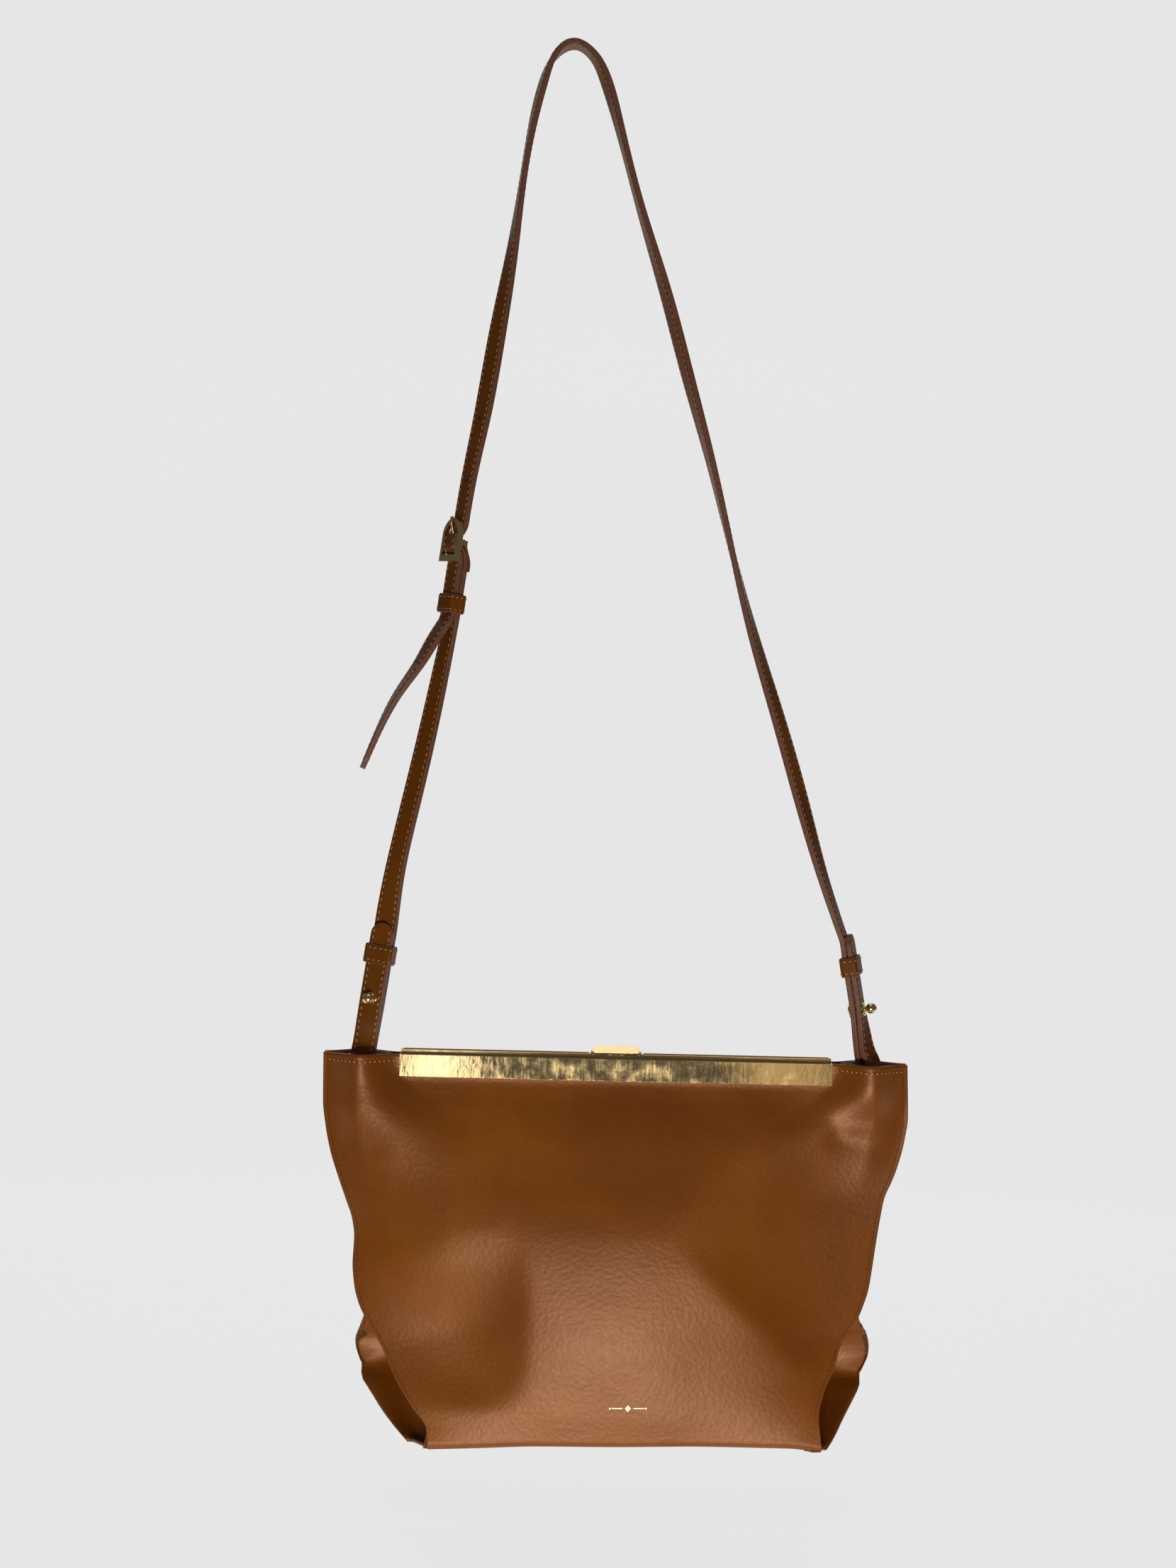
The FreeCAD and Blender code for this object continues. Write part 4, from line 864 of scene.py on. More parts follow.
def sew_walls():
    for which in WALLS:
        rim, seams = [], []
        for hand in (-1, 1):
            shares = hand * np.linspace(BAR_END / RIM_HALF_LENGTH + 0.010, 0.985, 60)
            line = wall_line(which, shares, np.full(60, RIM_ROW_DOWN))
            rim.append(sew(*line, 2.9, 2.05, 0.36, 0.14))
            line = wall_line(which, np.full(160, hand * SEAM_ROW_SHARE), np.linspace(6, 188, 160))
            seams.append(sew(*line, 2.9, 1.9, 0.24, 0.08))
        finish_sewing(f"{which}_rim", rim, f"{which}_half", "bag_leather", TAN_THREAD)
        finish_sewing(f"{which}_seams", seams, f"{which}_half", "bag_leather", BROWN_THREAD)
    points, ups = wall_line("back", np.linspace(-0.43, 0.43, 60), np.full(60, POCKET_ROW_DOWN))
    row = sew(points - ups * (POCKET_BAND_IN + 1.05) * MM, -ups, 3.0, 2.0, 0.25)
    finish_sewing("pocket", [row], "back_half", "bag_leather", TAN_THREAD)


sew_walls()


# ---------------------------------------------------------------- the strap

STRAP_WIDE, STRAP_THICK = 13.0, 3.0
ROW_INSET = 1.9
# Metres between the stations of a free run, and between those of a finished strap.
RUN_SPACING, STATION_SPACING = 0.004, 0.0011
LAYER_GAP = 0.4
LOOP_INSIDE = 1.6
RING_LEVEL = 3.0
KEEPER_UP, TIP_UP, TIP_LENGTH = 57.5, 75.0, 6.4
TWIST_FROM, TWIST_TO = 6.0, 38.0
# Each folded end's turn at the ring and at the keeper in degrees, and its lean as x and z.
LEFT_END = (-2.0, -16.0, (9.8, 67.7))
RIGHT_END = (55.0, 73.0, (-8.4, 46.7))
# The buckle's turn in degrees, its lean as x and z, and its place in metres.
BUCKLE_TURN, BUCKLE_LEAN = -57.0, (9.4, 70.5)
BUCKLE_AT = (-0.0594, -0.001, -0.275)
TAIL_KEEPER_DOWN = 33.0
STACK_REAR = 5.7
# The route of the strap in metres, and the turn of its width about the vertical in degrees.
LONG_RUN_LEFT = [
    (-0.0524, 0.0, -0.2400, -56.0), (-0.0460, 0.0, -0.2060, -50.0), (-0.0385, 0.0, -0.1590, -50.0),
    (-0.0312, 0.0, -0.1120, -68.0), (-0.0251, 0.0, -0.0650, -82.0), (-0.0208, 0.0, -0.0390, -76.0),
    (-0.0156, 0.0, -0.0175, -74.0), (-0.0086, 0.0, -0.0032, -84.0), (0.0, 0.0, 0.0015, -90.0),
]
LONG_RUN_RIGHT = [
    (0.0092, 0.0, -0.0030, -86.0), (0.0176, 0.0, -0.0170, -76.0), (0.0251, 0.0, -0.0400, -80.0),
    (0.0385, 0.0, -0.0870, -84.0), (0.0534, 0.0, -0.1335, -74.0), (0.0669, 0.0, -0.1800, -73.0),
    (0.0805, 0.0, -0.2265, -82.0), (0.0927, 0.0, -0.2730, -93.0), (0.1056, 0.0, -0.3195, -110.0),
    (0.1206, 0.0, -0.3660, -120.0), (0.1349, 0.0, -0.4125, -122.0), (0.1480, 0.0004, -0.4550, -112.0),
]
SHORT_RUN = [
    (-0.0654, 0.0034, -0.3450, -50.0), (-0.0715, 0.0022, -0.3770, -44.0),
    (-0.0806, 0.0012, -0.4200, -40.0), (-0.0890, 0.0020, -0.4610, -34.0),
]
TAIL_RUN = [
    (-0.0690, -0.0016, -0.3270, -58.0), (-0.0770, -0.0032, -0.3415, -64.0),
    (-0.0875, -0.0044, -0.3575, -72.0), (-0.0975, -0.0046, -0.3770, -80.0),
    (-0.1045, -0.0046, -0.3940, -84.0),
]
# The strap's way through the buckle, in the buckle's own frame in millimetres, and the lower
# strap's fold round the bar, which has a thickness too, since its end is skived.
LONG_IN_BUCKLE = [
    (2.3, 17.5), (2.3, 13.0), (2.1, 9.8), (0.9, 6.4), (-1.2, 3.2), (-2.35, 0.6), (-2.35, -0.6),
    (-1.4, -3.0), (0.3, -4.8), (1.9, -6.9), (2.4, -9.8), (2.4, -13.0),
]
FOLD_END = [(8.1, -14.5, 1.2), (7.6, -9.0, 1.2), (6.2, -5.6, 1.2), (4.7, -2.4, 1.2)]
FOLD_MAIN = [(2.9, -3.4, 1.2), (4.3, -5.8, 1.5), (5.4, -8.8, 2.3), (5.7, -12.5, 3.0)]


def frame_at(origin, turn, lean):
    """A frame whose X is the strap's width, -Y its outer face and Z up along the strap."""
    up = unit(np.array([lean[0], 0.0, lean[1]]))
    across = np.array([math.cos(math.radians(turn)), math.sin(math.radians(turn)), 0.0])
    across = unit(across - up * across.dot(up))
    made = np.eye(4)
    made[:3, 0], made[:3, 1], made[:3, 2], made[:3, 3] = across, np.cross(up, across), up, origin
    return made


def shift(y=0.0, z=0.0):
    made = np.eye(4)
    made[1:3, 3] = y * MM, z * MM
    return made


def ring_frame(hand, end):
    made = frame_at(np.zeros(3), end[0], end[2])
    to_bar = made[:3, :3] @ np.array([0, -(LOOP_INSIDE + STRAP_THICK / 2) * MM, 0])
    made[:3, 3] = np.array([BAG_X + hand * RING_ALONG * MM, 0, RIM_Z - RING_LEVEL * MM]) - to_bar
    return made


def twisted(end, up):
    """The turn of a folded end about its own length at a height above the ring."""
    angle = math.radians((end[1] - end[0]) * float(smooth(TWIST_FROM, TWIST_TO, up)))
    turn = np.eye(4)
    turn[:2, :2] = [[math.cos(angle), -math.sin(angle)], [math.sin(angle), math.cos(angle)]]
    middle = -(STRAP_THICK + LAYER_GAP) / 2
    return shift(y=middle) @ turn @ shift(y=-middle)


def station(point, across, outward, thick=STRAP_THICK, wide=STRAP_WIDE):
    return np.concatenate([point, across, outward, [thick, wide]])


def local_stations(place, path, end=None):
    """Stations of a path in a frame's Y-Z plane: entries are y and z, with a thickness and a width
    where they aren't the strap's own."""
    made = []
    for i, (y, z, *size) in enumerate(path):
        before, after = path[max(i - 1, 0)], path[min(i + 1, len(path) - 1)]
        run = unit(np.array([0.0, after[0] - before[0], after[1] - before[1]]))
        there = place @ twisted(end, z) if end else place
        across = there[:3, 0]
        outward = there[:3, :3] @ np.cross(run, np.array([1.0, 0, 0]))
        point = (there @ np.array([0, y * MM, z * MM, 1]))[:3]
        made.append(station(point, across, outward, *size))
    return made


def run_stations(points):
    """Stations along a smooth curve through route points, with the width turned as each says."""
    p = np.array([q[:3] for q in points])
    turns = np.array([q[3] for q in points])
    step = length_to(p)
    count = max(int(step[-1] / RUN_SPACING), 4)
    at = np.linspace(0, step[-1], count)
    spots = np.stack([spline(step, p[:, k], at) for k in range(3)], axis=1)
    tangents = np.gradient(spots, axis=0)
    angle = np.radians(spline(step, turns, at))
    made = []
    for spot, along, a in zip(spots, tangents, angle):
        along = unit(along)
        across = np.array([math.cos(a), math.sin(a), 0.0])
        across = unit(across - along * across.dot(along))
        made.append(station(spot, across, np.cross(across, along)))
    return made


def spline(x, y, at):
    """Natural cubic spline through y at x."""
    n = len(x)
    h = np.diff(x)
    a = np.zeros((n, n))
    b = np.zeros(n)
    a[0, 0] = a[-1, -1] = 1
    for i in range(1, n - 1):
        a[i, i - 1 : i + 2] = h[i - 1], 2 * (h[i - 1] + h[i]), h[i]
        b[i] = 3 * ((y[i + 1] - y[i]) / h[i] - (y[i] - y[i - 1]) / h[i - 1])
    c = np.linalg.solve(a, b)
    i = np.clip(np.searchsorted(x, at, side="right") - 1, 0, n - 2)
    t = at - x[i]
    slope = (y[i + 1] - y[i]) / h[i] - h[i] * (2 * c[i] + c[i + 1]) / 3
    return y[i] + slope * t + c[i] * t**2 + (c[i + 1] - c[i]) / (3 * h[i]) * t**3


def tip_width(to_end):
    """The strap's width near its rounded tip, at a distance from the end that is left."""
    into_tip = (TIP_LENGTH - to_end) / (STRAP_WIDE / 2)
    return STRAP_WIDE * max(math.sqrt(max(1 - into_tip**2, 0.0)), 0.12)


def folded_end():
    """A folded strap end: down the rear layer, round the ring, up the front layer to its tip."""
    apart = STRAP_THICK + LAYER_GAP
    turn = LOOP_INSIDE + STRAP_THICK / 2
    ups = (14.0, 18.0, 22.0, 26.0, 30.0, 34.0, TWIST_TO, 50.0, 60.0)
    path = [(0.0, up) for up in (TIP_UP - 2.0, *ups[::-1], 10.0, 6.0, 3.0)]
    for angle in np.linspace(0, math.pi, 13):
        path.append((-turn + turn * math.cos(angle), -turn * math.sin(angle)))
    path += [(-2 * turn + 0.5, 4.0), (-apart - 0.7, 9.0)]
    path += [(-apart, up) for up in (*ups, TIP_UP - 7.0)]
    for down in (5.6, 4.4, 3.4, 2.6, 1.9, 1.3, 0.8, 0.4, 0.15, 0.0):
        path.append((-apart, TIP_UP - down, STRAP_THICK, tip_width(down)))
    return path


def same_sense(stations):
    """The same stations with no width or outward direction turned over between two of them."""
    made = [stations[0]]
    for s in stations[1:]:
        s = s.copy()
        for part in (slice(3, 6), slice(6, 9)):
            if made[-1][part].dot(s[part]) < 0:
                s[part] *= -1
        made.append(s)
    return np.array(made)


def even(stations):
    """The same strap with evenly spaced, smoothed stations, and the length run to each."""
    stations = stations[np.diff(length_to(stations[:, :3]), prepend=-1) > 1e-5]
    step = length_to(stations[:, :3])
    at = np.linspace(0, step[-1], int(step[-1] / STATION_SPACING))
    i = np.clip(np.searchsorted(step, at, side="right") - 1, 0, len(step) - 2)
    h = (step[i + 1] - step[i])[:, None]
    t = (at - step[i])[:, None] / h
    slopes = np.gradient(stations, step, axis=0)
    a, b = stations[i], stations[i + 1]
    made = cubic(t, a, b, slopes[i] * h, slopes[i + 1] * h)
    made[:, 9:] = (a * (1 - t) + b * t)[:, 9:]
    along = unit(np.gradient(made[:, :3], axis=0))
    across = unit(made[:, 3:6] - along * np.sum(made[:, 3:6] * along, axis=1, keepdims=True))
    outward = np.cross(along, across)
    flip = np.sum(outward * made[:, 6:9], axis=1, keepdims=True) < 0
    made[:, 3:6], made[:, 6:9] = across, np.where(flip, -outward, outward)
    return made, at


def strap_section(wide, thick):
    """The strap's section: two flat faces, rounded corners, and a fine joint between its layers in
    each painted edge. Gives points, and whether the face after each point is painted."""
    half_w, half_t = wide / 2, thick / 2
    corner = min(0.55, half_t * 0.45, half_w * 0.4)

    def round_corner(degrees, up):
        a = math.radians(degrees)
        return half_w - corner + corner * math.cos(a), up * (half_t - corner) + corner * math.sin(a)

    points = [
        (x, half_t + 0.10 * (1 - (x / half_w) ** 2))
        for x in np.linspace(-half_w + corner, half_w - corner, 7)
    ]
    painted = [False] * 7 + [True] * 7
    points += [round_corner(60, 1), round_corner(25, 1)]
    points += [(half_w, half_t * 0.32), (half_w - 0.14, 0.0), (half_w, -half_t * 0.32)]
    points += [round_corner(-25, -1), round_corner(-60, -1)]
    return points + [(-x, -y) for x, y in points], painted * 2


def strap_object(name, stations, body, node):
    """A strap swept through stations, with rounded edges and painted sides. Gives its evenly spaced
    stations and the length run to each."""
    smooth_run, lengths = even(same_sense(stations))
    verts, uvs = [], []
    for s, at in zip(smooth_run, lengths):
        section, painted = strap_section(s[10], s[9])
        for x, y in section:
            verts.append(s[:3] + s[3:6] * x * MM + s[6:9] * y * MM)
            uvs.append((x * MM + (0.05 if y < 0 else 0.0), at))
    columns, rows = len(section), len(smooth_run)
    faces = grid_faces(rows, columns, True)
    slots = [1 if painted[c] else 0 for _ in range(rows - 1) for c in range(columns)]
    faces += [tuple(range(columns)), tuple(reversed(range((rows - 1) * columns, rows * columns)))]
    slots += [1, 1]
    obj = add_object(name, verts, faces, [STRAP_LEATHER, STRAP_EDGE], uvs, slots)
    face_outwards(obj)
    dress(obj, body, "strap_leather", node)
    return smooth_run, lengths


def sew_strap(name, run, lengths, first, last):
    """Stitch rows along both edges of a strap, on both faces, between two lengths."""
    part = run[(lengths >= first) & (lengths <= last)]
    reach = np.maximum(part[:, 10] / 2 - ROW_INSET, 0.0)[:, None]
    rows = []
    for face in (1, -1):
        for hand in (-1, 1):
            ups = part[:, 6:9] * face
            points = part[:, :3] + part[:, 3:6] * reach * hand * MM
            points = points + ups * (part[:, 9:10] / 2 + 0.04) * MM
            rows.append(sew(points, ups, 3.6, 2.5, 0.30, 0.22 * hand * face))
    finish_sewing(name, rows, "strap", "strap_leather", TAN_THREAD)


def punched(name, run, lengths, places):
    """Round buckle holes through the strap, drawn as a dark dimple of painted shade on each face, with
    nothing cut.
    """
    spots = []
    for at in places:
        i = int(np.argmin(np.abs(lengths - at)))
        s = run[i]
        along = np.cross(s[3:6], s[6:9])
        for face in (1, -1):
            up = s[6:9] * face
            middle = s[:3] + up * (s[9] / 2 + 0.10) * MM
            spots.append((middle, s[3:6], along, up, (1.25 * MM, 1.25 * MM, 0.10 * MM)))
    dress(many(name, DISC_SHAPE, DISC_FACES, spots, HOLE_SHADE), "strap", "strap_leather")


left_ring_at, right_ring_at = ring_frame(-1, LEFT_END), ring_frame(1, RIGHT_END)
buckle_at = frame_at(np.array(BUCKLE_AT), BUCKLE_TURN, BUCKLE_LEAN)


def make_long_strap():
    """The long strap: its tail, its way through the buckle, over the top and to the right ring."""
    below = [(LONG_IN_BUCKLE[-1][0], z) for z in (-20.0, -30.0, -TAIL_KEEPER_DOWN - 9.0)]
    through = local_stations(buckle_at, LONG_IN_BUCKLE + below)
    tail = run_stations([(*through[-1][:3], BUCKLE_TURN)] + TAIL_RUN)[1:]
    last = tail[-1]
    along = unit(last[:3] - tail[-2][:3])
    tip = []
    for step in np.linspace(0.4, TIP_LENGTH, 13):
        spot = last[:3] + along * step * MM
        tip.append(station(spot, last[3:6], last[6:9], wide=tip_width(TIP_LENGTH - step)))
    folded = local_stations(right_ring_at, folded_end(), RIGHT_END)
    run = [(*through[0][:3], BUCKLE_TURN)] + LONG_RUN_LEFT + LONG_RUN_RIGHT
    run.append((*folded[0][:3], RIGHT_END[1] - 180.0))
    stations = tip[::-1] + tail[::-1] + through[::-1] + run_stations(run)[1:-1] + folded
    smooth_run, lengths = strap_object("shoulder_strap", stations, "strap", "long_strap")
    sew_strap("shoulder_strap", smooth_run, lengths, 0.004, lengths[-1] - 0.003)
    prong = int(np.argmin(np.linalg.norm(smooth_run[:, :3] - np.array(BUCKLE_AT), axis=1)))
    # Buckle holes: painted shade on the strap's faces.
    punched("strap_hole_shade", smooth_run, lengths, [lengths[prong] + 0.036 * i for i in (-3, -2, 1, 2)])


def make_short_strap():
    """The lower strap: folded round the buckle's bar, and down to the left ring."""
    path = list(FOLD_END)
    for degrees in range(0, 241, 30):
        a = math.radians(degrees)
        path.append((2.0 + 1.9 * math.cos(a), 1.9 * math.sin(a), 1.2))
    path += FOLD_MAIN + [(STACK_REAR, z) for z in (-18.0, -24.0, -33.0, -TAIL_KEEPER_DOWN - 9.0)]
    upper = local_stations(buckle_at, path)
    lower = local_stations(left_ring_at, folded_end(), LEFT_END)
    run = [(*upper[-1][:3], BUCKLE_TURN)] + SHORT_RUN + [(*lower[0][:3], LEFT_END[1])]
    stations = upper + run_stations(run)[1:-1] + lower
    smooth_run, lengths = strap_object("lower_strap", stations, "strap", "short_strap")
    sew_strap("lower_strap", smooth_run, lengths, 0.040, lengths[-1] - 0.003)


make_long_strap()
make_short_strap()


def rounded_loop(half_x, y_from, y_to, corner):
    """Points and outward directions round a rounded rectangle in a frame's X-Y plane."""
    points, outs, count = [], [], 10
    for cx, cy, start in (
        (half_x - corner, y_to - corner, 0), (-half_x + corner, y_to - corner, 90),
        (-half_x + corner, y_from + corner, 180), (half_x - corner, y_from + corner, 270),
    ):
        for i in range(count + 1):
            a = math.radians(start + 90 * i / count)
            outs.append((math.cos(a), math.sin(a)))
            points.append((cx + corner * math.cos(a), cy + corner * math.sin(a)))
    return np.array(points), np.array(outs)


def make_keeper(name, place, up, y_from, y_to, body, node):
    """A leather band round the strap's layers, with crowned faces and stitched edges."""
    wall, play, half = 1.1, 0.45, 5.25
    half_x = STRAP_WIDE / 2 + play + wall
    corners, corner_outs = rounded_loop(half_x, y_from - play - wall, y_to + play + wall, 1.7)
    loop, outs = [], []
    for i in range(len(corners)):
        to_next = corners[(i + 1) % len(corners)] - corners[i]
        turn = corner_outs[(i + 1) % len(corners)] - corner_outs[i]
        pieces = 14 if np.linalg.norm(to_next) > 2 else 1
        for k in range(pieces):
            loop.append(corners[i] + to_next * k / pieces)
            outs.append(unit(corner_outs[i] + turn * k / pieces))
    loop, outs = np.array(loop), np.array(outs)
    # The band's section as heights and outward distances: its face, then its upper edge, its inside
    # and its lower edge.
    section = [
        (-half + 0.35, 0.0), (-half + 0.9, 0.08), (-half * 0.4, 0.16), (half * 0.4, 0.16),
        (half - 0.9, 0.08), (half - 0.35, 0.0), (half, -0.4), (half, -wall + 0.25),
        (half - 0.3, -wall), (-half + 0.3, -wall), (-half, -wall + 0.25), (-half, -0.4),
    ]
    there = place @ shift(z=up)

    def at(p, o, z, out):
        return (there @ np.array([*(p + o * out) * MM, z * MM, 1]))[:3]

    verts, uvs = [], []
    for p, o, run in zip(loop, outs, length_to(loop)):
        verts += [at(p, o, z, out) for z, out in section]
        uvs += [(run * MM + 0.3, z * MM) for z, _ in section]
    columns = len(section)
    faces = grid_faces(len(loop), columns, True)
    last = (len(loop) - 1) * columns
    faces += [(last + c, last + (c + 1) % columns, (c + 1) % columns, c) for c in range(columns)]
    slots = [1 if 5 <= c <= 7 or c >= 10 else 0 for _ in loop for c in range(columns)]
    obj = add_object(name, verts, faces, [STRAP_LEATHER, STRAP_EDGE], uvs, slots)
    face_outwards(obj)
    dress(obj, body, "strap_leather", node)
    rows = []
    closed, ups = np.concatenate([loop, loop[:1]]), np.concatenate([outs, outs[:1]])
    directions = [there[:3, :3] @ np.array([*o, 0]) for o in ups]
    for z in (-half + ROW_INSET, half - ROW_INSET):
        points = [at(p, o, z, 0.15) for p, o in zip(closed, ups)]
        rows.append(sew(points, directions, 3.0, 2.0, 0.27, 0.15))
    finish_sewing(name, rows, body, "strap_leather", TAN_THREAD)


STACK_FRONT = -(STRAP_THICK + LAYER_GAP) - STRAP_THICK / 2
for hand_name, ring_at, strap_end in (("left", left_ring_at, LEFT_END), ("right", right_ring_at, RIGHT_END)):
    make_keeper(
        f"{hand_name}_band", ring_at @ twisted(strap_end, KEEPER_UP), KEEPER_UP, STACK_FRONT,
        STRAP_THICK / 2, f"{hand_name}_slider", f"{hand_name}_keeper",
    )
make_keeper(
    "buckle_band", buckle_at, -TAIL_KEEPER_DOWN, LONG_IN_BUCKLE[-1][0] - STRAP_THICK / 2,
    STACK_REAR + STRAP_THICK / 2, "tail_slider", "tail_keeper",
)


def make_ring_tab(name, place, hand):
    """The leather tab that holds a strap ring: round the ring's lower bar and down into the folded
    side."""
    ring_drop, inside, wall = 10.4, 2.2, 1.4
    foot_along, foot_down = 128.1, 36.0
    at_bar = place @ shift(y=-(LOOP_INSIDE + STRAP_THICK / 2), z=-ring_drop)
    width, depth = at_bar[:3, 0], at_bar[:3, 1]
    foot = np.array([BAG_X + hand * foot_along * MM, 0, RIM_Z - foot_down * MM])
    middle = inside + wall / 2
    top = (at_bar @ np.array([0, 0, -middle * MM * 1.6, 1]))[:3]
    legs = []
    for layer in (1, -1):
        leg = []
        for share in np.linspace(1, 0.12, 9):
            free = 1 - share
            across = unit(width * free + np.array([math.copysign(1, width[0]), 0, 0]) * share)
            inward = unit(depth * free + np.array([0, 1, 0]) * share)
            spot = top + (foot - top) * share + inward * layer * (0.75 + 0.5 * free) * MM
            leg.append(station(spot, across, inward * layer, 1.2, 8.0 + 0.8 * free))
        legs.append(leg)
    loop = []
    for degrees in range(-50, 231, 20):
        a = math.radians(degrees)
        spot = (at_bar @ np.array([0, middle * math.cos(a) * MM, middle * math.sin(a) * MM, 1]))[:3]
        outward = at_bar[:3, :3] @ np.array([0, math.cos(a), math.sin(a)])
        loop.append(station(spot, width, outward, wall, 9.0))
    strap_object(f"{name}_tab", legs[0] + loop + legs[1][::-1], "bag", f"{name}_ring_tab")


make_ring_tab("left", left_ring_at, -1)
make_ring_tab("right", right_ring_at, 1)


# ---------------------------------------------------------------- metal


def softened(node, name, material, width, segments=3):
    """A CAD part redrawn with rounded edges, which a polished casting has."""
    source = frame["nodes"][node]
    obj = bpy.data.objects.new(name, source.data.copy())
    bpy.context.scene.collection.objects.link(obj)
    work = bmesh.new()
    work.from_mesh(obj.data)
    bmesh.ops.remove_doubles(work, verts=work.verts, dist=0.00001)
    bmesh.ops.dissolve_limit(work, angle_limit=math.radians(1.0), verts=work.verts, edges=work.edges)
    bmesh.ops.recalc_face_normals(work, faces=work.faces)
    work.to_mesh(obj.data)
    work.free()
    obj.data.polygons.foreach_set("use_smooth", [True] * len(obj.data.polygons))
    obj.data.set_sharp_from_angle(angle=math.radians(38))
    bevel = obj.modifiers.new("soft_edges", "BEVEL")
    bevel.width = width * MM
    bevel.segments = segments
    bevel.limit_method = "ANGLE"
    bevel.angle_limit = math.radians(35)
    bevel.use_clamp_overlap = True
    bevel.harden_normals = True
    bpy.context.view_layer.update()
    mesh = bpy.data.meshes.new_from_object(obj.evaluated_get(bpy.context.evaluated_depsgraph_get()))
    obj.modifiers.clear()
    obj.data = mesh
    mesh.materials.clear()
    mesh.materials.append(material)
    dress(obj, source["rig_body"], "gold_hardware", node)


softened("front_bar", "front_clasp_bar", GOLD_FACE, 0.35)
softened("back_bar", "back_clasp_bar", GOLD, 0.28)
softened("clasp_lever", "clasp_tab", GOLD, 0.3)
softened("clasp_bracket", "clasp_seat", GOLD, 0.08)
softened("clasp_catch", "clasp_hook", GOLD, 0.12)
softened("buckle_frame", "strap_buckle", GOLD, 0.55, 4)

KEPT = {
    GOLD: ["left_ring", "right_ring", "left_stud_head", "right_stud_head", "left_stud_base",
           "right_stud_base", "buckle_prong"],
    STEEL: ["front_bar_screws", "back_bar_screws", "clasp_pin", "clasp_spring"],
    BOARD: ["front_bar_packing", "back_bar_packing"],
}
for material, names in KEPT.items():
    for name in names:
        for slot in frame["nodes"][name].material_slots:
            slot.material = material


# ---------------------------------------------------------------- foil mark


def make_mark():
    """A small foil ornament near the lower edge: a lozenge between two fine lines."""
    middle_along, middle_down = 46.0 - BAG_X / MM, 184.0
    outlines = [[(0, -1.7), (1.5, 0), (0, 1.7), (-1.5, 0)]]
    for hand in (-1, 1):
        line = [(3.0, -0.16), (8.6, -0.10), (8.6, 0.10), (3.0, 0.16)]
        dot = [(9.6, -0.45), (10.1, 0), (9.6, 0.45), (9.1, 0)]
        outlines += [[(hand * x, y) for x, y in outline] for outline in (line, dot)]
    verts, faces = [], []
    for outline in outlines:
        along, down = np.array(outline).T + np.array([[middle_along], [middle_down]])
        points, ups = wall_line("front", along / FRONT_RIGHT(down), down)
        start, count = len(verts), len(points)
        verts += list(points + ups * 0.00002) + list(points + ups * 0.00008)
        low = [start + i for i in range(count)]
        high = [i + count for i in low]
        faces += [tuple(high), tuple(reversed(low))]
        faces += list(zip(low, low[1:] + low[:1], high[1:] + high[:1], high))
    dress(add_object("foil_mark", verts, faces, [FOIL], shade=False), "front_half", "gold_hardware")


make_mark()


# ---------------------------------------------------------------- stage, light and camera

CAMERA_AT = Vector((0.0171, -1.25, -0.4057))
CAMERA_ROLL = math.radians(1.32)
FIELD_OF_VIEW = math.radians(38.1)
FLOOR_BELOW_MM = 34


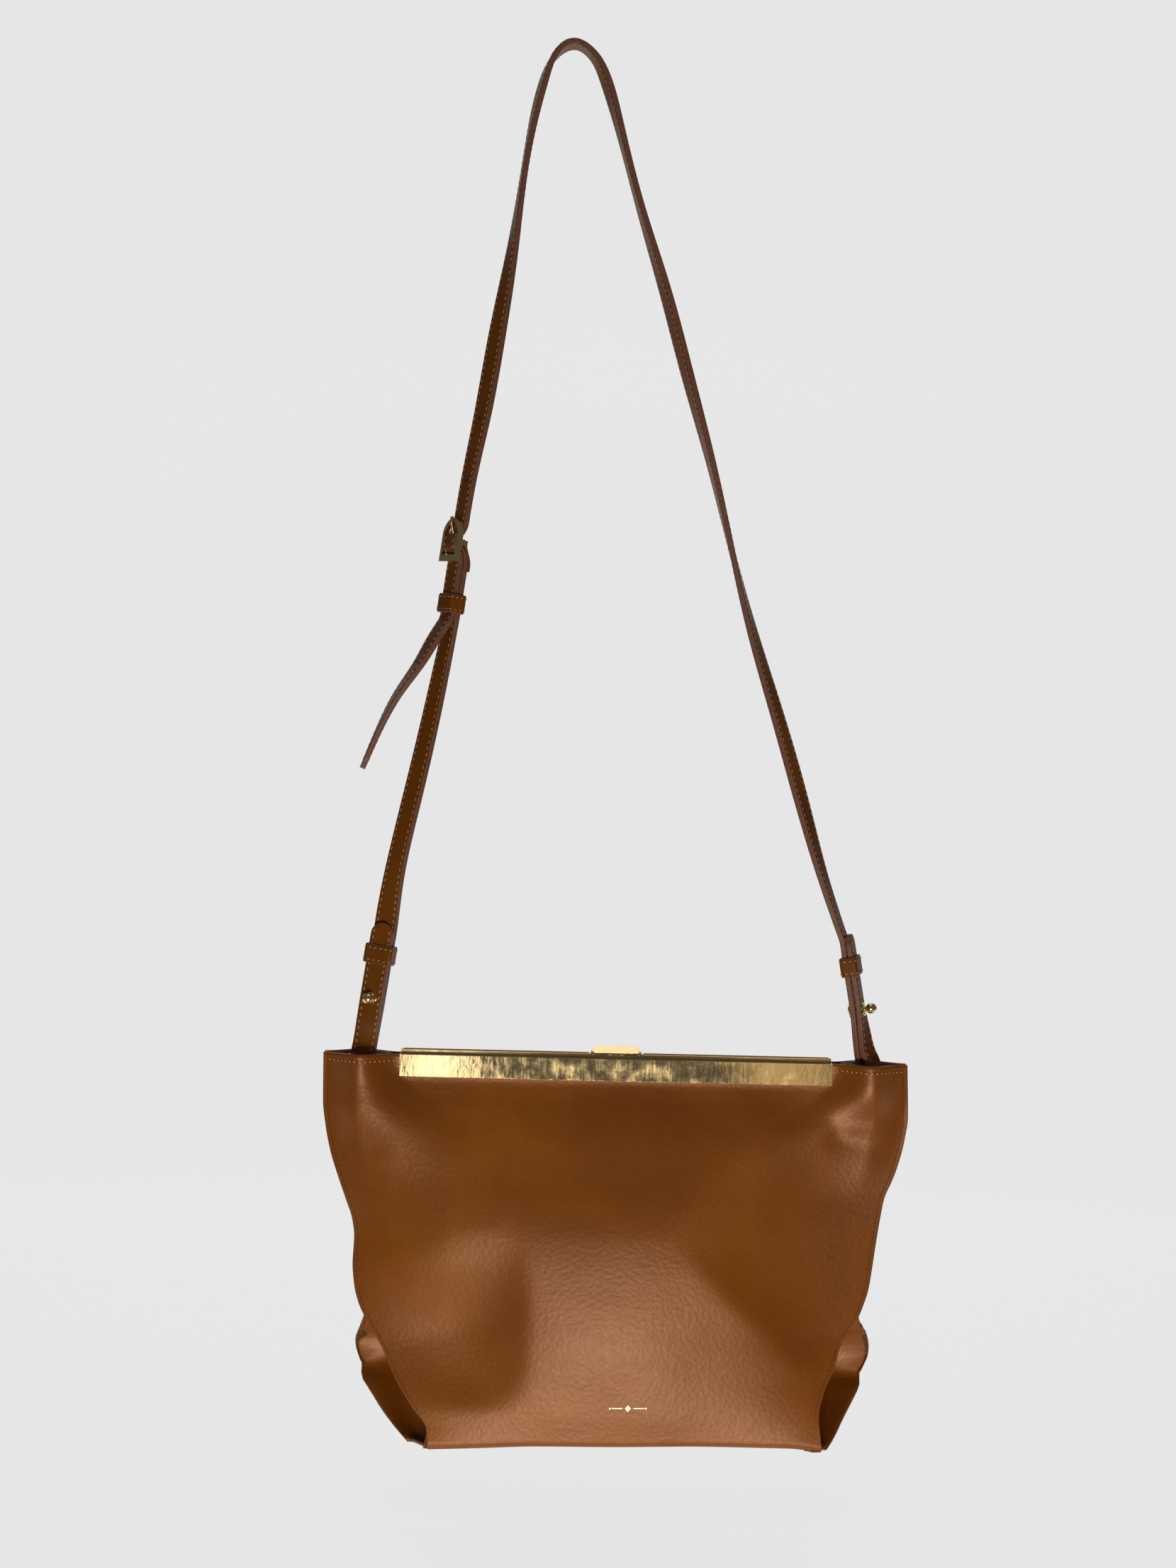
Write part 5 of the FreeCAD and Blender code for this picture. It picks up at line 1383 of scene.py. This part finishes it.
def make_stage():
    """A pale floor that curves up into a pale backdrop."""
    n = Nodes("pale_paper")
    fibres = n.noise(n.place(), 300.0, 3.0, 0.6)
    n.set("Base Color", n.ramp(fibres, (0.3, (0.10, 0.10, 0.10)), (0.7, (0.12, 0.12, 0.12))))
    n.set("Roughness", 0.9)
    n.set("Specular IOR Level", 0.05)
    n.set("Emission Color", (1.0, 1.0, 1.0, 1.0))
    n.set("Emission Strength", 0.76)
    floor = RIM_Z - (BASE_DOWN + FLOOR_BELOW_MM) * MM
    front, back, bend, half_wide, rise = -0.17, 1.7, 0.9, 1.1, 4.0
    profile = [(front, floor), (back - bend, floor)]
    for i in range(1, 17):
        a = math.radians(90 * i / 16)
        profile.append((back - bend + bend * math.sin(a), floor + bend * (1 - math.cos(a))))
    profile.append((back, floor + rise))
    verts = [(x, y, z) for y, z in profile for x in (-half_wide, half_wide)]
    faces = [(2 * i, 2 * i + 1, 2 * i + 3, 2 * i + 2) for i in range(len(profile) - 1)]
    add_object("studio_paper", verts, faces, [n.material])


def make_light(name, at, target, size_x, size_y, power, colour=(1, 1, 1)):
    """A rectangular lamp that faces its target."""
    data = bpy.data.lights.new(name, "AREA")
    data.shape = "RECTANGLE"
    data.size, data.size_y = size_x, size_y
    data.energy = power
    data.color = colour
    light = bpy.data.objects.new(name, data)
    light.location = at
    light.rotation_euler = (Vector(target) - Vector(at)).to_track_quat("-Z", "Y").to_euler()
    bpy.context.scene.collection.objects.link(light)


def make_camera():
    data = bpy.data.cameras.new("camera")
    data.sensor_fit = "VERTICAL"
    data.angle = FIELD_OF_VIEW
    camera = bpy.data.objects.new("camera", data)
    level = Matrix.Rotation(math.radians(90), 4, "X")
    camera.matrix_world = Matrix.Translation(CAMERA_AT) @ level @ Matrix.Rotation(CAMERA_ROLL, 4, "Z")
    bpy.context.scene.collection.objects.link(camera)
    bpy.context.scene.camera = camera


def make_world():
    world = bpy.data.worlds.new("studio")
    world.use_nodes = True
    background = world.node_tree.nodes["Background"]
    background.inputs["Color"].default_value = (1.0, 0.97, 0.93, 1.0)
    background.inputs["Strength"].default_value = 0.09
    bpy.context.scene.world = world


make_stage()
bag_middle = (BAG_X, 0.0, RIM_Z - 0.1)
make_light("key", (0.03, -1.40, -1.0), bag_middle, 0.36, 0.24, 11.4, (1.0, 0.98, 0.95))
make_light("overhead", (0.0, -0.1, 0.75), (0.0, 0.0, -0.5), 0.8, 0.6, 2.2)
make_light("left_card", (-0.15, -1.30, -0.72), (-0.07, 0.0, -0.56), 0.075, 0.25, 0.11)
make_light("right_card", (0.245, -1.30, -0.72), (0.13, 0.0, -0.56), 0.09, 0.25, 0.03, (1.0, 0.78, 0.5))
make_camera()
make_world()
bpy.context.scene.view_settings.view_transform = "Standard"
